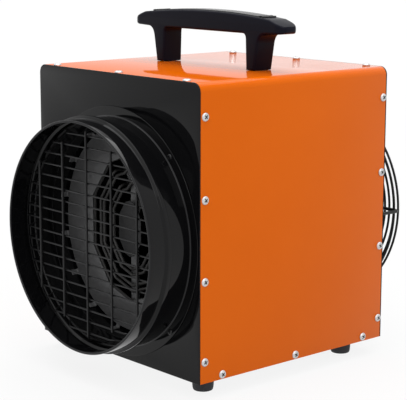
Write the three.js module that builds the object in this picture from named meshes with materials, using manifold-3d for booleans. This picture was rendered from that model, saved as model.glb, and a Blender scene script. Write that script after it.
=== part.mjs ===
// Portable forced air heater: a sheet-metal cube that an axial fan blows through.
// Millimetres, +Z up. The warm air leaves along -Y through a duct spigot, the fan
// draws in along +Y through a wire guard, and the heater stands on four rubber feet.
// The origin is under the middle of the whole object, on the ground.

import * as THREE from 'three';
import { mergeVertices } from 'three/addons/utils/BufferGeometryUtils.js';
import Module from 'manifold-3d';

const wasm = await Module();
wasm.setup();

// ---------------------------------------------------------------- driving sizes

// Clearances
const fit = 0.3; // between two pieces that touch
const running = 0.4; // round a shaft or spindle that turns
const endPlay = 1; // at the blind end of a bore
const weldSink = 0.9; // how far crossing wires sink into each other at a weld
const lap = 1; // how far a cutter passes a face, or one joined form reaches into the next

// Casing
const casingWidth = 275;
const casingDepth = 277;
const cornerRadius = 9.5; // outer bend of the wrap, and the panels' top corners
const leastBend = 1; // inner radius of a sharp bend
const wrapSheet = 1.2;
const panelSheet = 1.2;
const panelFlange = 15; // how far a panel's rim turns into the casing
const rimGap = 1; // from that rim to the ends of the turned-up edges between the rims
const baseSheet = 1.2;
const baseFlange = 14;

// Feet
const footHeight = 19;
const footTopRadius = 12.2;
const footGroundRadius = 10.6;
const footSideInset = 32; // a foot's axis, from the casing's side
const footEndInset = 33; // and from its front or back
const footRim = 2;
const footScrewRadius = 3;
const footRecessRadius = 5.5;
const footRecessDepth = 7;
const footRounding = 1.2;

// Air path: everything round is centred on this height above the casing's bottom
const ductHeight = 139.6;
const ductRadius = 118.5; // bore of the inner duct
const ductSheet = 1;
const ductFlange = 9;
const outletRadius = 118; // hole in the front panel
const inletRadius = 112; // hole in the rear panel

// Duct spigot
const spigotRadius = 125; // outside, for a 250 mm hose
const spigotSheet = 1.5;
const spigotLength = 54;
const spigotFlangeRadius = 136;
const spigotFlangeSheet = 1;
const beadStart = 26.5;
const beadWidth = 8;
const beadRise = 3;
const beadFlank = 2.4; // how much of the width each flank takes
const hemLength = 4.5;
const hemInset = 1.3;
const hemRound = 1;

// Outlet grille
const grilleFaceDepth = 37; // rows, in front of the panel
const grilleRingDepth = 21.5;
const grilleFaceRadius = 113;
const grilleRingWire = 3.4; // wire diameters
const rowWire = 2;
const barWire = 3;
const rowCount = 18;
const rowPitch = 12.6;
const barPitch = 42.6;
const grilleBend = 5;

// Baffle plate behind the outlet
const baffleDepth = 19; // behind the front panel's face
const baffleSheet = 1;
const baffleRadius = 114;
const tabCount = 16;
const tabWidth = 6;
const tabReach = 8;

// Heating elements: three tubes, each bent into two ten-sided turns side by side
const elementTube = 5;
const turnPitch = 5.3; // from a tube's outer turn to its inner turn
const outerApothem = 72.6;
const middleApothem = 55.2;
const innerApothem = 37.8;
const turnSideCount = 10;
const turnStart = 3; // corner where a tube begins, at the upper left
const turnRise = 12; // how much farther the top and bottom of a turn reach than its sides
const windowApothem = 64; // of the opening in the baffle plate
const elementBend = 5;
const elementStopShare = 0.4; // where an inner turn ends along its last side
const coldEnd = 34; // length of the ends that turn back
const terminalPin = 3;
const terminalPinLength = 9;

// What carries the elements
const bracketWidth = 12;
const bracketSheet = 1.5;
const bracketFoot = 12;
const stripWidth = 16;
const stripSheet = 2;
const stripSetback = 20; // behind the elements' centre plane
const deflectorApothem = 19;
const deflectorBossRadius = 6;

// Fan
const shroudRadius = 102;
const shroudSheet = 1.2;
const shroudLength = 48;
const bellRadius = 9;
const impellerRadius = 98.5;
const impellerSetback = 28; // blade middle, in front of the rear panel's inner face
const hubRadius = 33;
const hubLength = 34;
const hubWall = 2.5;
const hubRound = 4;
const hubBossWall = 4;
const hubBossLength = 20;
const bladeCount = 6;
const bladeChord = 62;
const bladeSheet = 2;
const bladeRootAngle = 44;
const bladeTipAngle = 27;
const bladeSweep = 18;
const bladeRootShare = 0.62; // width at the root, as a share of the tip's
const bladeCamber = 0.06; // rise of the middle, as a share of the chord
const bladeSteps = 3; // facets each way

// Motor
const motorRadius = 38;
const motorLength = 44;
const motorCapRadius = 30;
const motorCapLength = 9;
const motorRibCount = 3;
const motorRibDepth = 2.5;
const motorRibCrest = 0.4; // shares of the ribs' pitch
const motorRibFlank = 0.1;
const motorBossRadius = 10;
const motorBossLength = 4;
const shaftRadius = 4;
const shaftHold = 20; // how far its bore runs into the motor
const shaftTip = 4; // how far the shaft stands out of the hub

// Rear guard
const guardReach = 45; // ring plane, behind the rear panel
const guardRadius = 120;
const guardRingPitch = 6.7;
const guardRingCount = 11;
const guardWire = 2.8;
const guardSpokeWire = 4;
const guardLegBend = 3;
const guardRimStep = 7; // second outer ring, in front of the first
const guardEyeRadius = 6.5;
const guardEyeSheet = 2;
const guardEyeHole = 2.5;
const mountPlateRadius = 44;
const mountPlateSheet = 2;
const mountScrewRadius = 2.2;
const mountScrewCircle = 22;

// Handle
const gripHalfLength = 126;
const gripDepth = 27.5;
const gripMiddleRise = 61.3; // above the casing's top
const gripShoulderRise = 56;
const gripShoulderX = 104;
const gripUndersideRise = 39.5;
const gripTipRound = 3;
const gripTipLift = 2.5; // of the underside at the tip
const gripTipHeight = 6.5;
const gripTipBulge = [4, 1.5]; // the tip's control point, out and up from its lower corner
const shoulderBulge = [10, 3]; // the shoulder's control point, out and down from the shoulder
const legInner = 69; // at the foot of a leg
const legOuter = 82;
const legLean = 1.2; // of the inner face towards the middle
const legFlare = 5; // of the outer face
const insideFillet = 6; // between a leg and the grip
const outsideFillet = 10;
const handleBevel = 2;
const padHalfLength = 84;
const padWidth = 20;
const padSink = 2.4;
const padRise = 1;
const handleBoltRadius = 3;
const handleBoltLength = 24;
const handleBoltHead = 5.5;
const handleBoltHeadHeight = 4;

// Controls, on the rear panel above the guard
const controlRise = 18.9; // their line, above the duct's flange
const controlHeadroom = 24; // the casing's top, above that line
const thermostatInset = 61.5; // from the casing's left side, seen from the front
const glandInset = 39.5; // from its right side
const selectorX = -24;
const resetX = 22;
const lampX = 56;
const shieldGap = 2.9; // between the hot duct and the sheet over it
const shieldSheet = 1;
const shieldFlange = 12;
const knobRadius = 17;
const knobLength = 17;
const knobFlutes = 12;
const knobFluteDepth = 1.2;
const knobLift = 2; // over its bush
const pointerWidth = 5;
const pointerHeight = 3;
const pointerTail = 2;
const pointerInset = 1;
const spindleRadius = 3;
const spindleReach = 10; // depth of its bore in the knob
const thermostatBodySize = [44, 30, 36];
const selectorBodySize = [34, 38, 34];
const bushRadius = 5;
const bushLength = 5;
const resetRadius = 4;
const resetTravel = 2.5;
const resetProud = 3.2; // still out of its bush when pressed
const resetRounding = 1;
const resetNutRadius = 8;
const resetNutHeight = 2.7;
const cutoutBodyRadius = 13;
const cutoutBodyLength = 20;
const cutoutBushLength = 4;
const lampRadius = 6;
const lampBodyRadius = 5;
const lampCollar = 2; // full width behind the panel
const lampBezelRadius = 8.5;
const lampBezelHeight = 2;
const lampBezelSlope = 1;
const lampDome = 3.5;
const lampBodyLength = 22;
const glandThreadRadius = 12.5;
const glandThreadLength = 9;
const glandBoreRadius = 7;
const glandHexRadius = 16.5;
const glandHexHeight = 7;
const glandNutHeight = 4;
const glandDomeWall = 2;
const glandDomeStep = 1; // of its base over the thread
const glandLength = 26;
const terminalBlockSize = [60, 24, 20];
const terminalBaseHeight = 12;
const terminalWallCount = 6;
const terminalWallSheet = 2;
const terminalWallInset = 4;
const terminalBlockAside = 40; // from the gland towards the middle
const terminalBlockInset = 78.5; // its middle, in front of the rear panel
const capillaryTube = 2.4;
const capillaryStraight = 14; // out of the thermostat's body
const capillaryAside = 14;
const capillaryCrossing = 12;
const capillaryDrop = 6;
const capillaryBend = 6;
const bulbStandoff = 40;
const bulbRadius = 3.2;
const bulbLength = 70;

// Roundness: sides of a full turn, and steps of a rounded corner
const bigRound = 40;
const midRound = 32;
const discRound = 24;
const smallRound = 16;
const pinRound = 12;
const tubeSides = 6;
const wireSides = 4;
const hexagonSides = 6;
const cornerSteps = 5;
const bevelSteps = 2;
const guardFacet = 26.7; // length of a facet along the guard's rings

// ------------------------------------------------------------- derived places

const frontReach = spigotLength;
const rearReach = guardReach + guardWire / 2;
const casingShift = (frontReach - rearReach) / 2; // centres the whole on the origin
const ductOutside = ductRadius + ductSheet;
const shieldHeight = ductHeight + ductOutside + shieldGap;
const controlHeight = ductHeight + ductOutside + ductFlange + controlRise;
const casingHeight = controlHeight + controlHeadroom;
const thermostatX = thermostatInset - casingWidth / 2;
const glandX = casingWidth / 2 - glandInset;
const frontFace = -casingDepth / 2;
const rearFace = casingDepth / 2;
const frontInside = frontFace + panelSheet;
const rearInside = rearFace - panelSheet;
const wrapInside = casingWidth / 2 - wrapSheet;
const topInside = casingHeight - wrapSheet;
const betweenRims = casingDepth / 2 - panelFlange - rimGap;
const baffleFront = frontFace + baffleDepth;
const baffleBack = baffleFront + baffleSheet;
const elementPlane = baffleBack + fit + elementTube / 2;
const bigFlat = Math.cos(Math.PI / bigRound); // a facet's middle, per unit of radius
const ductReach = ductRadius * bigFlat - fit; // radius that clears the faceted bore

// -------------------------------------------------------------------- finishes

const finish = (color, roughness, metalness) =>
  new THREE.MeshStandardMaterial({ color, roughness, metalness });
const orangePaint = finish(0xd9651e, 0.35, 0.1);
const blackGloss = finish(0x161617, 0.18, 0.1);
const blackWire = finish(0x131313, 0.4, 0.3);
const zincSheet = finish(0xb4b6b8, 0.42, 0.85);
const elementSteel = finish(0xa09e9a, 0.38, 0.9);
const blackPlastic = finish(0x222222, 0.5, 0);
const greyPlastic = finish(0x3c3c3e, 0.55, 0);
const blackRubber = finish(0x262627, 0.85, 0);
const castMetal = finish(0x8d9092, 0.5, 0.8);
const redPlastic = finish(0xb02a1e, 0.4, 0);
const amberLens = finish(0xe08a2a, 0.15, 0);
const whitePlastic = finish(0xd9d8d2, 0.5, 0);
const copper = finish(0xb8703f, 0.35, 0.9);

// ----------------------------------------------------------- geometry and solids

/** Merges shared corners and turns the faces outwards. */
function closed(geometry) {
  const bare = geometry.clone();
  bare.deleteAttribute('normal');
  bare.deleteAttribute('uv');
  const merged = mergeVertices(bare, 1e-3);
  const index = merged.index.array;
  const places = merged.attributes.position;
  const corner = (i) => new THREE.Vector3().fromBufferAttribute(places, index[i]);
  let volume = 0;
  for (let i = 0; i < index.length; i += 3) {
    volume += corner(i).dot(corner(i + 1).cross(corner(i + 2)));
  }
  if (volume < 0) {
    for (let i = 0; i < index.length; i += 3) {
      [index[i], index[i + 1]] = [index[i + 1], index[i]];
    }
  }
  return merged;
}

/** A closed mesh as a solid that can be joined and cut. */
function solid(geometry) {
  const mesh = closed(geometry);
  return new wasm.Manifold(new wasm.Mesh({
    numProp: 3,
    vertProperties: new Float32Array(mesh.attributes.position.array),
    triVerts: new Uint32Array(mesh.index.array),
  }));
}

/** A solid back as a geometry. */
function geometryOf(body) {
  const mesh = body.getMesh();
  const places = new Float32Array(mesh.vertProperties);
  const geometry = new THREE.BufferGeometry();
  geometry.setAttribute('position', new THREE.BufferAttribute(places, 3));
  geometry.setIndex(new THREE.BufferAttribute(new Uint32Array(mesh.triVerts), 1));
  return geometry;
}

const join = (...geometries) => geometryOf(geometries.map(solid).reduce((a, b) => a.add(b)));
const cut = (geometry, ...tools) =>
  geometryOf(tools.map(solid).reduce((a, b) => a.subtract(b), solid(geometry)));
const overlap = (a, b) => geometryOf(solid(a).intersect(solid(b)));

/** A box between two corners. */
function block(x0, x1, y0, y1, z0, z1) {
  const box = new THREE.BoxGeometry(x1 - x0, y1 - y0, z1 - z0);
  return box.translate((x0 + x1) / 2, (y0 + y1) / 2, (z0 + z1) / 2);
}

/** A ring or disc about the Y axis, from [radius, y] corners. */
function turned(profile, steps = bigRound) {
  const points = profile.map(([radius, y]) => new THREE.Vector2(radius, y));
  if (profile[0][0] > 0) points.push(points[0].clone());
  return new THREE.LatheGeometry(points, steps);
}

/** A rod along Y, Z or X. */
function rod(axis, radius, from, to, steps = smallRound) {
  const geometry = new THREE.CylinderGeometry(radius, radius, to - from, steps);
  geometry.translate(0, (from + to) / 2, 0);
  if (axis === 'z') geometry.rotateX(Math.PI / 2);
  if (axis === 'x') geometry.rotateZ(-Math.PI / 2);
  return geometry;
}

/** A flat outline in X and Z, given its thickness along Y. */
function plate(outline, yFront, yBack, bevel = 0) {
  const geometry = new THREE.ExtrudeGeometry(outline, {
    depth: yBack - yFront - 2 * bevel,
    bevelEnabled: bevel > 0,
    bevelThickness: bevel,
    bevelSize: bevel,
    bevelOffset: -bevel,
    bevelSegments: bevelSteps,
    curveSegments: cornerSteps,
  });
  geometry.rotateX(Math.PI / 2);
  return geometry.translate(0, yBack - bevel, 0);
}

/** The casing's outline seen from the front, moved in by an inset. */
function casingOutline(inset, bottom) {
  const x = casingWidth / 2 - inset;
  const top = casingHeight - inset;
  const radius = Math.max(cornerRadius - inset, leastBend);
  const outline = new THREE.Shape();
  outline.moveTo(-x, bottom);
  outline.lineTo(x, bottom);
  outline.lineTo(x, top - radius);
  outline.absarc(x - radius, top - radius, radius, 0, Math.PI / 2);
  outline.lineTo(-x + radius, top);
  outline.absarc(-x + radius, top - radius, radius, Math.PI / 2, Math.PI);
  return outline;
}

/** A round hole in an outline, with as many sides as the round pieces have. */
function roundPath(x, z, radius, sides) {
  const corners = [];
  for (let i = 0; i < sides; i++) {
    const angle = (2 * Math.PI * i) / sides;
    corners.push(new THREE.Vector2(x + radius * Math.cos(angle), z + radius * Math.sin(angle)));
  }
  return new THREE.Path(corners);
}

/** A wire's centre line: straight runs joined by round bends, sampled only where it turns. */
class BentWire extends THREE.Curve {
  constructor(corners, bendRadius, bendSteps = 2) {
    super();
    this.stations = [corners[0]];
    for (let i = 1; i < corners.length - 1; i++) {
      const back = corners[i - 1].clone().sub(corners[i]).normalize();
      const ahead = corners[i + 1].clone().sub(corners[i]).normalize();
      const turn = Math.PI - back.angleTo(ahead);
      const start = back.clone().multiplyScalar(bendRadius * Math.tan(turn / 2)).add(corners[i]);
      const axis = ahead.clone().cross(back).normalize();
      const centre = back.clone().cross(axis).multiplyScalar(bendRadius).add(start);
      for (let step = 0; step <= bendSteps; step++) {
        const arm = start.clone().sub(centre).applyAxisAngle(axis, (turn * step) / bendSteps);
        this.stations.push(arm.add(centre));
      }
    }
    this.stations.push(corners.at(-1));
  }

  getPoint(t) {
    const place = t * (this.stations.length - 1);
    const before = Math.min(Math.floor(place), this.stations.length - 2);
    return this.stations[before].clone().lerp(this.stations[before + 1], place - before);
  }

  getPointAt(u) {
    return this.getPoint(u);
  }

  getTangentAt(u) {
    const here = Math.round(u * (this.stations.length - 1));
    const before = this.stations[Math.max(here - 1, 0)];
    const point = this.stations[here];
    const after = this.stations[Math.min(here + 1, this.stations.length - 1)];
    const arriving = point.clone().sub(before).normalize();
    return arriving.add(after.clone().sub(point).normalize()).normalize();
  }
}

/** A round wire or tube bent through corners. */
function wire(corners, diameter, sides, bendRadius = 1, bendSteps = 2) {
  const points = corners.map(([x, y, z]) => new THREE.Vector3(x, y, z));
  const path = new BentWire(points, bendRadius, bendSteps);
  const section = new THREE.Shape(roundPath(0, 0, diameter / 2, sides).getPoints());
  return new THREE.ExtrudeGeometry(section, {
    steps: path.stations.length - 1,
    extrudePath: path,
    bevelEnabled: false,
  });
}

/** A closed wire ring about the Y axis. */
function ring(radius, diameter, y, steps = bigRound) {
  const geometry = new THREE.TorusGeometry(radius, diameter / 2, wireSides, steps);
  return geometry.rotateX(Math.PI / 2).translate(0, y, 0);
}

// ----------------------------------------------------------------- the assembly

const heater = new THREE.Group();
const casing = new THREE.Group(); // z = 0 at the casing's bottom, y = 0 at its middle
casing.position.set(0, casingShift, footHeight);
const airPath = new THREE.Group(); // the duct's axis is its Y axis
airPath.position.set(0, 0, ductHeight);
casing.add(airPath);
heater.add(casing);

function part(name, geometry, material, parent) {
  const mesh = new THREE.Mesh(closed(geometry), material);
  mesh.name = name;
  parent.add(mesh);
  return mesh;
}

// ----------------------------------------------------------------------- casing

/** Top and both sides in one bent sheet. */
function casingWrap() {
  const front = frontInside + fit;
  const back = rearInside - fit;
  const inside = plate(casingOutline(wrapSheet, -lap), front - lap, back + lap);
  const boltHoles = [-1, 1].map((side) => {
    const hole = rod('z', handleBoltRadius + fit, topInside - lap, casingHeight + lap, pinRound);
    return hole.translate(side * legMiddle(), 0, 0);
  });
  return cut(plate(casingOutline(0, 0), front, back), inside, ...boltHoles);
}

/** A panel with its rim turned into the casing; facing is -1 at the front, 1 at the back. */
function panel(facing, holes) {
  const face = (facing * casingDepth) / 2;
  const into = (depth) => face - facing * depth;
  const between = (outline, from, to) => plate(outline, Math.min(from, to), Math.max(from, to));
  const outline = casingOutline(0, 0);
  outline.holes.push(...holes);
  const rim = casingOutline(wrapSheet + fit, baseSheet + fit);
  const rimInside = casingOutline(wrapSheet + fit + panelSheet, baseSheet + fit + panelSheet);
  rim.holes.push(new THREE.Path(rimInside.getPoints(cornerSteps)));
  const sheet = between(outline, face, into(panelSheet));
  return join(sheet, between(rim, into(panelSheet / 2), into(panelFlange)));
}

/** Bottom sheet with its long edges turned up beside the wrap. */
function basePlate() {
  const x = wrapInside - fit;
  const y = rearInside - fit;
  const sheet = block(-x, x, -y, y, 0, baseSheet);
  const flanges = turnedEdges(x, baseSheet, baseFlange);
  const screwHoles = footPlaces().map(([, px, py]) =>
    rod('z', footScrewRadius, -lap, baseSheet + lap, pinRound).translate(px, py, 0));
  return cut(join(sheet, ...flanges), ...screwHoles);
}

/** Both long edges of a flat sheet, turned up between the panels' rims. */
function turnedEdges(x, sheet, height) {
  return [-1, 1].map((side) => {
    const [x0, x1] = side < 0 ? [-x, -x + sheet] : [x - sheet, x];
    return block(x0, x1, -betweenRims, betweenRims, sheet / 2, height);
  });
}

function footPlaces() {
  const x = casingWidth / 2 - footSideInset;
  const y = casingDepth / 2 - footEndInset;
  return [
    ['front_left', -x, -y],
    ['front_right', x, -y],
    ['rear_left', -x, y],
    ['rear_right', x, y],
  ];
}

/** Rubber foot with a recess for its screw, its top at z = 0. */
function foot() {
  const ground = -footHeight;
  return turned([
    [footRecessRadius, ground],
    [footGroundRadius - footRounding, ground],
    [footGroundRadius, ground + footRounding],
    [footTopRadius, -footRim],
    [footTopRadius, -fit],
    [footScrewRadius, -fit],
    [footScrewRadius, ground + footRecessDepth],
    [footRecessRadius, ground + footRecessDepth],
  ], smallRound).rotateX(Math.PI / 2);
}

part('casing_wrap', casingWrap(), orangePaint, casing);
part('front_panel', panel(-1, [roundPath(0, ductHeight, outletRadius, bigRound)]), blackGloss, casing);
part('rear_panel', panel(1, [
  roundPath(0, ductHeight, inletRadius, bigRound),
  roundPath(thermostatX, controlHeight, bushRadius + fit, pinRound),
  roundPath(selectorX, controlHeight, bushRadius + fit, pinRound),
  roundPath(resetX, controlHeight, bushRadius + fit, pinRound),
  roundPath(lampX, controlHeight, lampRadius + fit, pinRound),
  roundPath(glandX, controlHeight, glandThreadRadius + fit, smallRound),
]), blackGloss, casing);
part('base_plate', basePlate(), zincSheet, casing);
for (const [place, x, y] of footPlaces()) {
  part(`foot_${place}`, foot(), blackRubber, casing).position.set(x, y, 0);
}

// ----------------------------------------------------------------------- handle

function legMiddle() {
  return (legInner + legOuter) / 2;
}

/** Height of the grip's back above the casing's top. */
function gripArch(x) {
  const drop = gripMiddleRise - gripShoulderRise;
  const radius = (gripShoulderX ** 2 + drop ** 2) / (2 * drop);
  return gripMiddleRise - radius + Math.sqrt(radius ** 2 - x ** 2);
}

/** Right half of the handle's outline, from the middle of the underside round to the back. */
function handleSide() {
  const underside = gripUndersideRise;
  const innerTop = legInner - legLean;
  const outerTop = legOuter + legFlare;
  const tip = gripHalfLength - gripTipRound;
  const tipBottom = underside + gripTipLift;
  const side = new THREE.Path();
  side.moveTo(0, underside);
  side.lineTo(innerTop - insideFillet, underside);
  side.quadraticCurveTo(innerTop, underside, innerTop, underside - insideFillet);
  side.lineTo(legInner, fit);
  side.lineTo(legOuter, fit);
  side.lineTo(outerTop, underside - outsideFillet);
  side.quadraticCurveTo(outerTop, underside, outerTop + outsideFillet, underside);
  side.lineTo(tip, tipBottom);
  side.quadraticCurveTo(
    tip + gripTipBulge[0], tipBottom + gripTipBulge[1],
    tip, tipBottom + gripTipHeight,
  );
  side.quadraticCurveTo(
    gripShoulderX + shoulderBulge[0], gripShoulderRise - shoulderBulge[1],
    gripShoulderX, gripArch(gripShoulderX),
  );
  for (const share of [0.75, 0.5, 0.25, 0]) {
    side.lineTo(gripShoulderX * share, gripArch(gripShoulderX * share));
  }
  return side.getPoints(cornerSteps - 1);
}

/** Grip and both legs, moulded in one; z = 0 on the casing's top. */
function handle() {
  const right = handleSide();
  const left = right.slice(1, -1).reverse().map((p) => new THREE.Vector2(-p.x, p.y));
  const half = gripDepth / 2;
  const body = plate(new THREE.Shape([...right, ...left]), -half, half, handleBevel);

  const plan = new THREE.Shape();
  plan.absarc(gripHalfLength - half, 0, half, -Math.PI / 2, Math.PI / 2);
  plan.absarc(-gripHalfLength + half, 0, half, Math.PI / 2, (3 * Math.PI) / 2);
  const rounded = new THREE.ExtrudeGeometry(plan, {
    depth: gripMiddleRise + lap,
    bevelEnabled: false,
    curveSegments: cornerSteps + 1,
  });
  const boltHoles = [-1, 1].map((way) => {
    const hole = rod('z', handleBoltRadius + fit, -lap, handleBoltLength, pinRound);
    return hole.translate(way * legMiddle(), 0, 0);
  });
  return cut(overlap(body, rounded), padStrip(fit), ...boltHoles);
}

/** Strip along the grip's back, grown all round by an allowance. */
function padStrip(allowance) {
  const reach = padHalfLength + allowance;
  const along = (rise) => [-1, -0.6, -0.2, 0.2, 0.6, 1].map((share) =>
    new THREE.Vector2(share * reach, gripArch(share * reach) + rise));
  const above = along(padRise + 2 * allowance);
  const below = along(-padSink - allowance);
  const half = padWidth / 2 + allowance;
  return plate(new THREE.Shape([...below, ...above.reverse()]), -half, half);
}

/** Hexagon bolt up through the casing's top, its shank in a leg. */
function handleBolt() {
  const seat = -wrapSheet - fit;
  const head = rod('z', handleBoltHead, seat - handleBoltHeadHeight, seat, hexagonSides);
  const shank = rod('z', handleBoltRadius, seat - lap, handleBoltLength - endPlay, pinRound);
  return join(head, shank);
}

part('handle', handle(), blackPlastic, casing).position.z = casingHeight;
part('handle_pad', padStrip(0), greyPlastic, casing).position.z = casingHeight;
for (const [name, x] of [['handle_bolt_left', -legMiddle()], ['handle_bolt_right', legMiddle()]]) {
  part(name, handleBolt(), zincSheet, casing).position.set(x, 0, casingHeight);
}

// ------------------------------------------------------------------ warm air side

/** Collar for the hose: flange, rolled bead and hemmed mouth. */
function ductSpigot() {
  const out = (distance) => frontFace - fit - distance;
  const inside = spigotRadius - spigotSheet;
  const mouth = frontFace - spigotLength;
  const crest = [beadStart + beadFlank, beadStart + beadWidth - beadFlank];
  return turned([
    [inside, out(0)],
    [spigotFlangeRadius, out(0)],
    [spigotFlangeRadius, out(spigotFlangeSheet)],
    [spigotRadius, out(spigotFlangeSheet)],
    [spigotRadius, out(beadStart)],
    [spigotRadius + beadRise, out(crest[0])],
    [spigotRadius + beadRise, out(crest[1])],
    [spigotRadius, out(beadStart + beadWidth)],
    [spigotRadius, mouth + hemRound],
    [spigotRadius - hemRound, mouth],
    [inside - hemInset, mouth + hemRound / 2],
    [inside - hemInset, mouth + hemLength],
    [inside, mouth + hemLength + hemRound],
    [inside, out(beadStart + beadWidth)],
    [inside + beadRise, out(crest[1])],
    [inside + beadRise, out(crest[0])],
    [inside, out(beadStart)],
  ]);
}

/** Welded basket: rows bent back to a rim ring, with five bars across them. */
function outletGrille() {
  const ringRadius = spigotRadius - spigotSheet - fit - grilleRingWire / 2;
  const rowY = frontFace - grilleFaceDepth;
  const ringY = frontFace - grilleRingDepth;
  const barY = rowY - (rowWire + barWire) / 2 + weldSink;
  const pieces = [ring(ringRadius, grilleRingWire, ringY)];
  const rows = [];
  for (let i = 0; i < rowCount; i++) rows.push((i - (rowCount - 1) / 2) * rowPitch);
  for (const z of rows) {
    const face = Math.sqrt(grilleFaceRadius ** 2 - z ** 2);
    const end = Math.sqrt(ringRadius ** 2 - z ** 2);
    const route = [[-end, ringY, z], [-face, rowY, z], [face, rowY, z], [end, ringY, z]];
    pieces.push(wire(route, rowWire, wireSides, grilleBend, 1));
  }
  for (const step of [-2, -1, 1, 2]) {
    const x = step * barPitch;
    const crossed = rows.filter((z) => x ** 2 + z ** 2 < grilleFaceRadius ** 2);
    const top = crossed.at(-1) + rowWire;
    pieces.push(wire([[x, barY, -top], [x, barY, top]], barWire, wireSides));
  }
  const face = grilleFaceRadius;
  const end = ringRadius - lap;
  const middleBar = [[0, ringY, -end], [0, barY, -face], [0, barY, face], [0, ringY, end]];
  pieces.push(wire(middleBar, barWire, wireSides, grilleBend, 1));
  return join(...pieces);
}

/** Round inner casing that the air runs through, flanged at both panels. */
function innerDuct() {
  const front = frontInside + fit;
  const back = rearInside - fit;
  return turned([
    [ductRadius, front],
    [ductOutside + ductFlange, front],
    [ductOutside + ductFlange, front + ductSheet],
    [ductOutside, front + ductSheet],
    [ductOutside, back - ductSheet],
    [ductOutside + ductFlange, back - ductSheet],
    [ductOutside + ductFlange, back],
    [ductRadius, back],
  ]);
}

/** Corners of a ten-sided turn, taller than wide, with upright left and right sides. */
function turnCorners(apothem) {
  const step = (2 * Math.PI) / turnSideCount;
  const reachOf = (i) => apothem + turnRise * Math.sin(i * step) ** 2;
  return Array.from({ length: turnSideCount }, (_, i) => {
    const [from, to] = [i * step, (i + 1) * step];
    const [first, next] = [reachOf(i), reachOf(i + 1)];
    return new THREE.Vector2(
      (first * Math.sin(to) - next * Math.sin(from)) / Math.sin(step),
      (next * Math.cos(from) - first * Math.cos(to)) / Math.sin(step),
    );
  });
}

/** Sheet tab from one radius to another, turned forwards at its end. */
function bentTab(from, to) {
  const lip = baffleFront - tabReach;
  const profile = new THREE.Shape([
    new THREE.Vector2(from, baffleFront),
    new THREE.Vector2(to - baffleSheet, baffleFront),
    new THREE.Vector2(to - baffleSheet, lip),
    new THREE.Vector2(to, lip),
    new THREE.Vector2(to, baffleBack),
    new THREE.Vector2(from, baffleBack),
  ]);
  const tab = new THREE.ExtrudeGeometry(profile, { depth: tabWidth, bevelEnabled: false });
  return tab.translate(0, 0, -tabWidth / 2);
}

/** Plate that closes the duct round the elements, held by tabs bent forwards. */
function bafflePlate() {
  const outline = new THREE.Shape(roundPath(0, 0, baffleRadius, bigRound).getPoints());
  outline.holes.push(new THREE.Path(turnCorners(windowApothem)));
  const tabs = [];
  const tabOut = Math.sqrt(ductReach ** 2 - (tabWidth / 2) ** 2);
  for (let i = 0; i < tabCount; i++) {
    const angle = ((i + 0.5) * 2 * Math.PI) / tabCount;
    tabs.push(bentTab(baffleRadius - lap, tabOut).rotateY(-angle));
  }
  return join(plate(outline, baffleFront, baffleBack), ...tabs);
}

/** One tube bent into an outer and an inner turn side by side, with both ends turned back. */
function heatingElement(apothem) {
  const outer = turnCorners(apothem);
  const inner = turnCorners(apothem - turnPitch);
  const start = outer[turnStart];
  const crossing = inner[turnStart - 1].clone().lerp(inner[turnStart], 0.5);
  const round = [3, 4, 5, 6, 7, 8, 9, 0];
  const stop = elementStop(apothem);
  const inPlane = (corner) => [corner.x, elementPlane, corner.y];
  const behind = (corner) => [corner.x, elementPlane + coldEnd, corner.y];
  const route = [
    behind(start),
    ...[...round, 1, 2].map((i) => inPlane(outer[i])),
    inPlane(crossing),
    ...round.map((i) => inPlane(inner[i])),
    inPlane(stop),
    behind(stop),
  ];
  const tube = wire(route, elementTube, tubeSides, elementBend, 1);
  const end = elementPlane + coldEnd;
  const pins = [start, stop].map((corner) => {
    const pin = rod('y', terminalPin / 2, end - lap, end + terminalPinLength, tubeSides);
    return pin.translate(corner.x, 0, corner.y);
  });
  return join(tube, ...pins);
}

/** Where an element's inner turn ends, part of the way along the upper right side. */
function elementStop(apothem) {
  const inner = turnCorners(apothem - turnPitch);
  return inner[0].clone().lerp(inner[1], elementStopShare);
}

/** Upright strip behind the elements, its ends turned back along the duct. */
function elementBracket() {
  const front = elementPlane + elementTube / 2 + fit;
  const reach = Math.sqrt(ductReach ** 2 - (bracketWidth / 2) ** 2);
  const half = bracketWidth / 2;
  const feet = [-1, 1].map((way) => {
    const [z0, z1] = way < 0 ? [-reach, -reach + bracketSheet] : [reach - bracketSheet, reach];
    return block(-half, half, front, front + bracketFoot, z0, z1);
  });
  return join(block(-half, half, front, front + bracketSheet, -reach, reach), ...feet);
}

/** Plate in the middle that turns the air out onto the elements, on a boss on the bracket. */
function deflectorDisc() {
  const seat = elementPlane + elementTube / 2;
  const boss = rod('y', deflectorBossRadius, baffleFront + lap / 2, seat, smallRound);
  return join(plate(new THREE.Shape(turnCorners(deflectorApothem)), baffleFront, baffleBack), boss);
}

/** Strip through a row of element ends, its foot on the duct, with a hole for each end. */
function terminalStrip(ends) {
  const y = elementPlane + stripSetback;
  const row = ends[0].clone().sub(ends.at(-1));
  const places = ends.map((end) => end.clone().rotateAround(new THREE.Vector2(), -row.angle()));
  const aside = places[0].y;
  const half = stripWidth / 2;
  const reach = Math.sqrt(ductReach ** 2 - (Math.abs(aside) + half) ** 2);
  const innerEnd = places.at(-1).x - half;
  const strip = block(innerEnd, reach, y, y + stripSheet, aside - half, aside + half);
  const footSide = [y, y + bracketFoot, aside - half, aside + half];
  const stripFoot = block(reach - stripSheet, reach, ...footSide);
  const holes = places.map((place) => {
    const hole = rod('y', elementTube / 2 + fit, y - lap, y + stripSheet + lap, pinRound);
    return hole.translate(place.x, 0, aside);
  });
  return cut(join(strip, stripFoot), ...holes).rotateY(-row.angle());
}

const apothems = [outerApothem, middleApothem, innerApothem];

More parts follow.
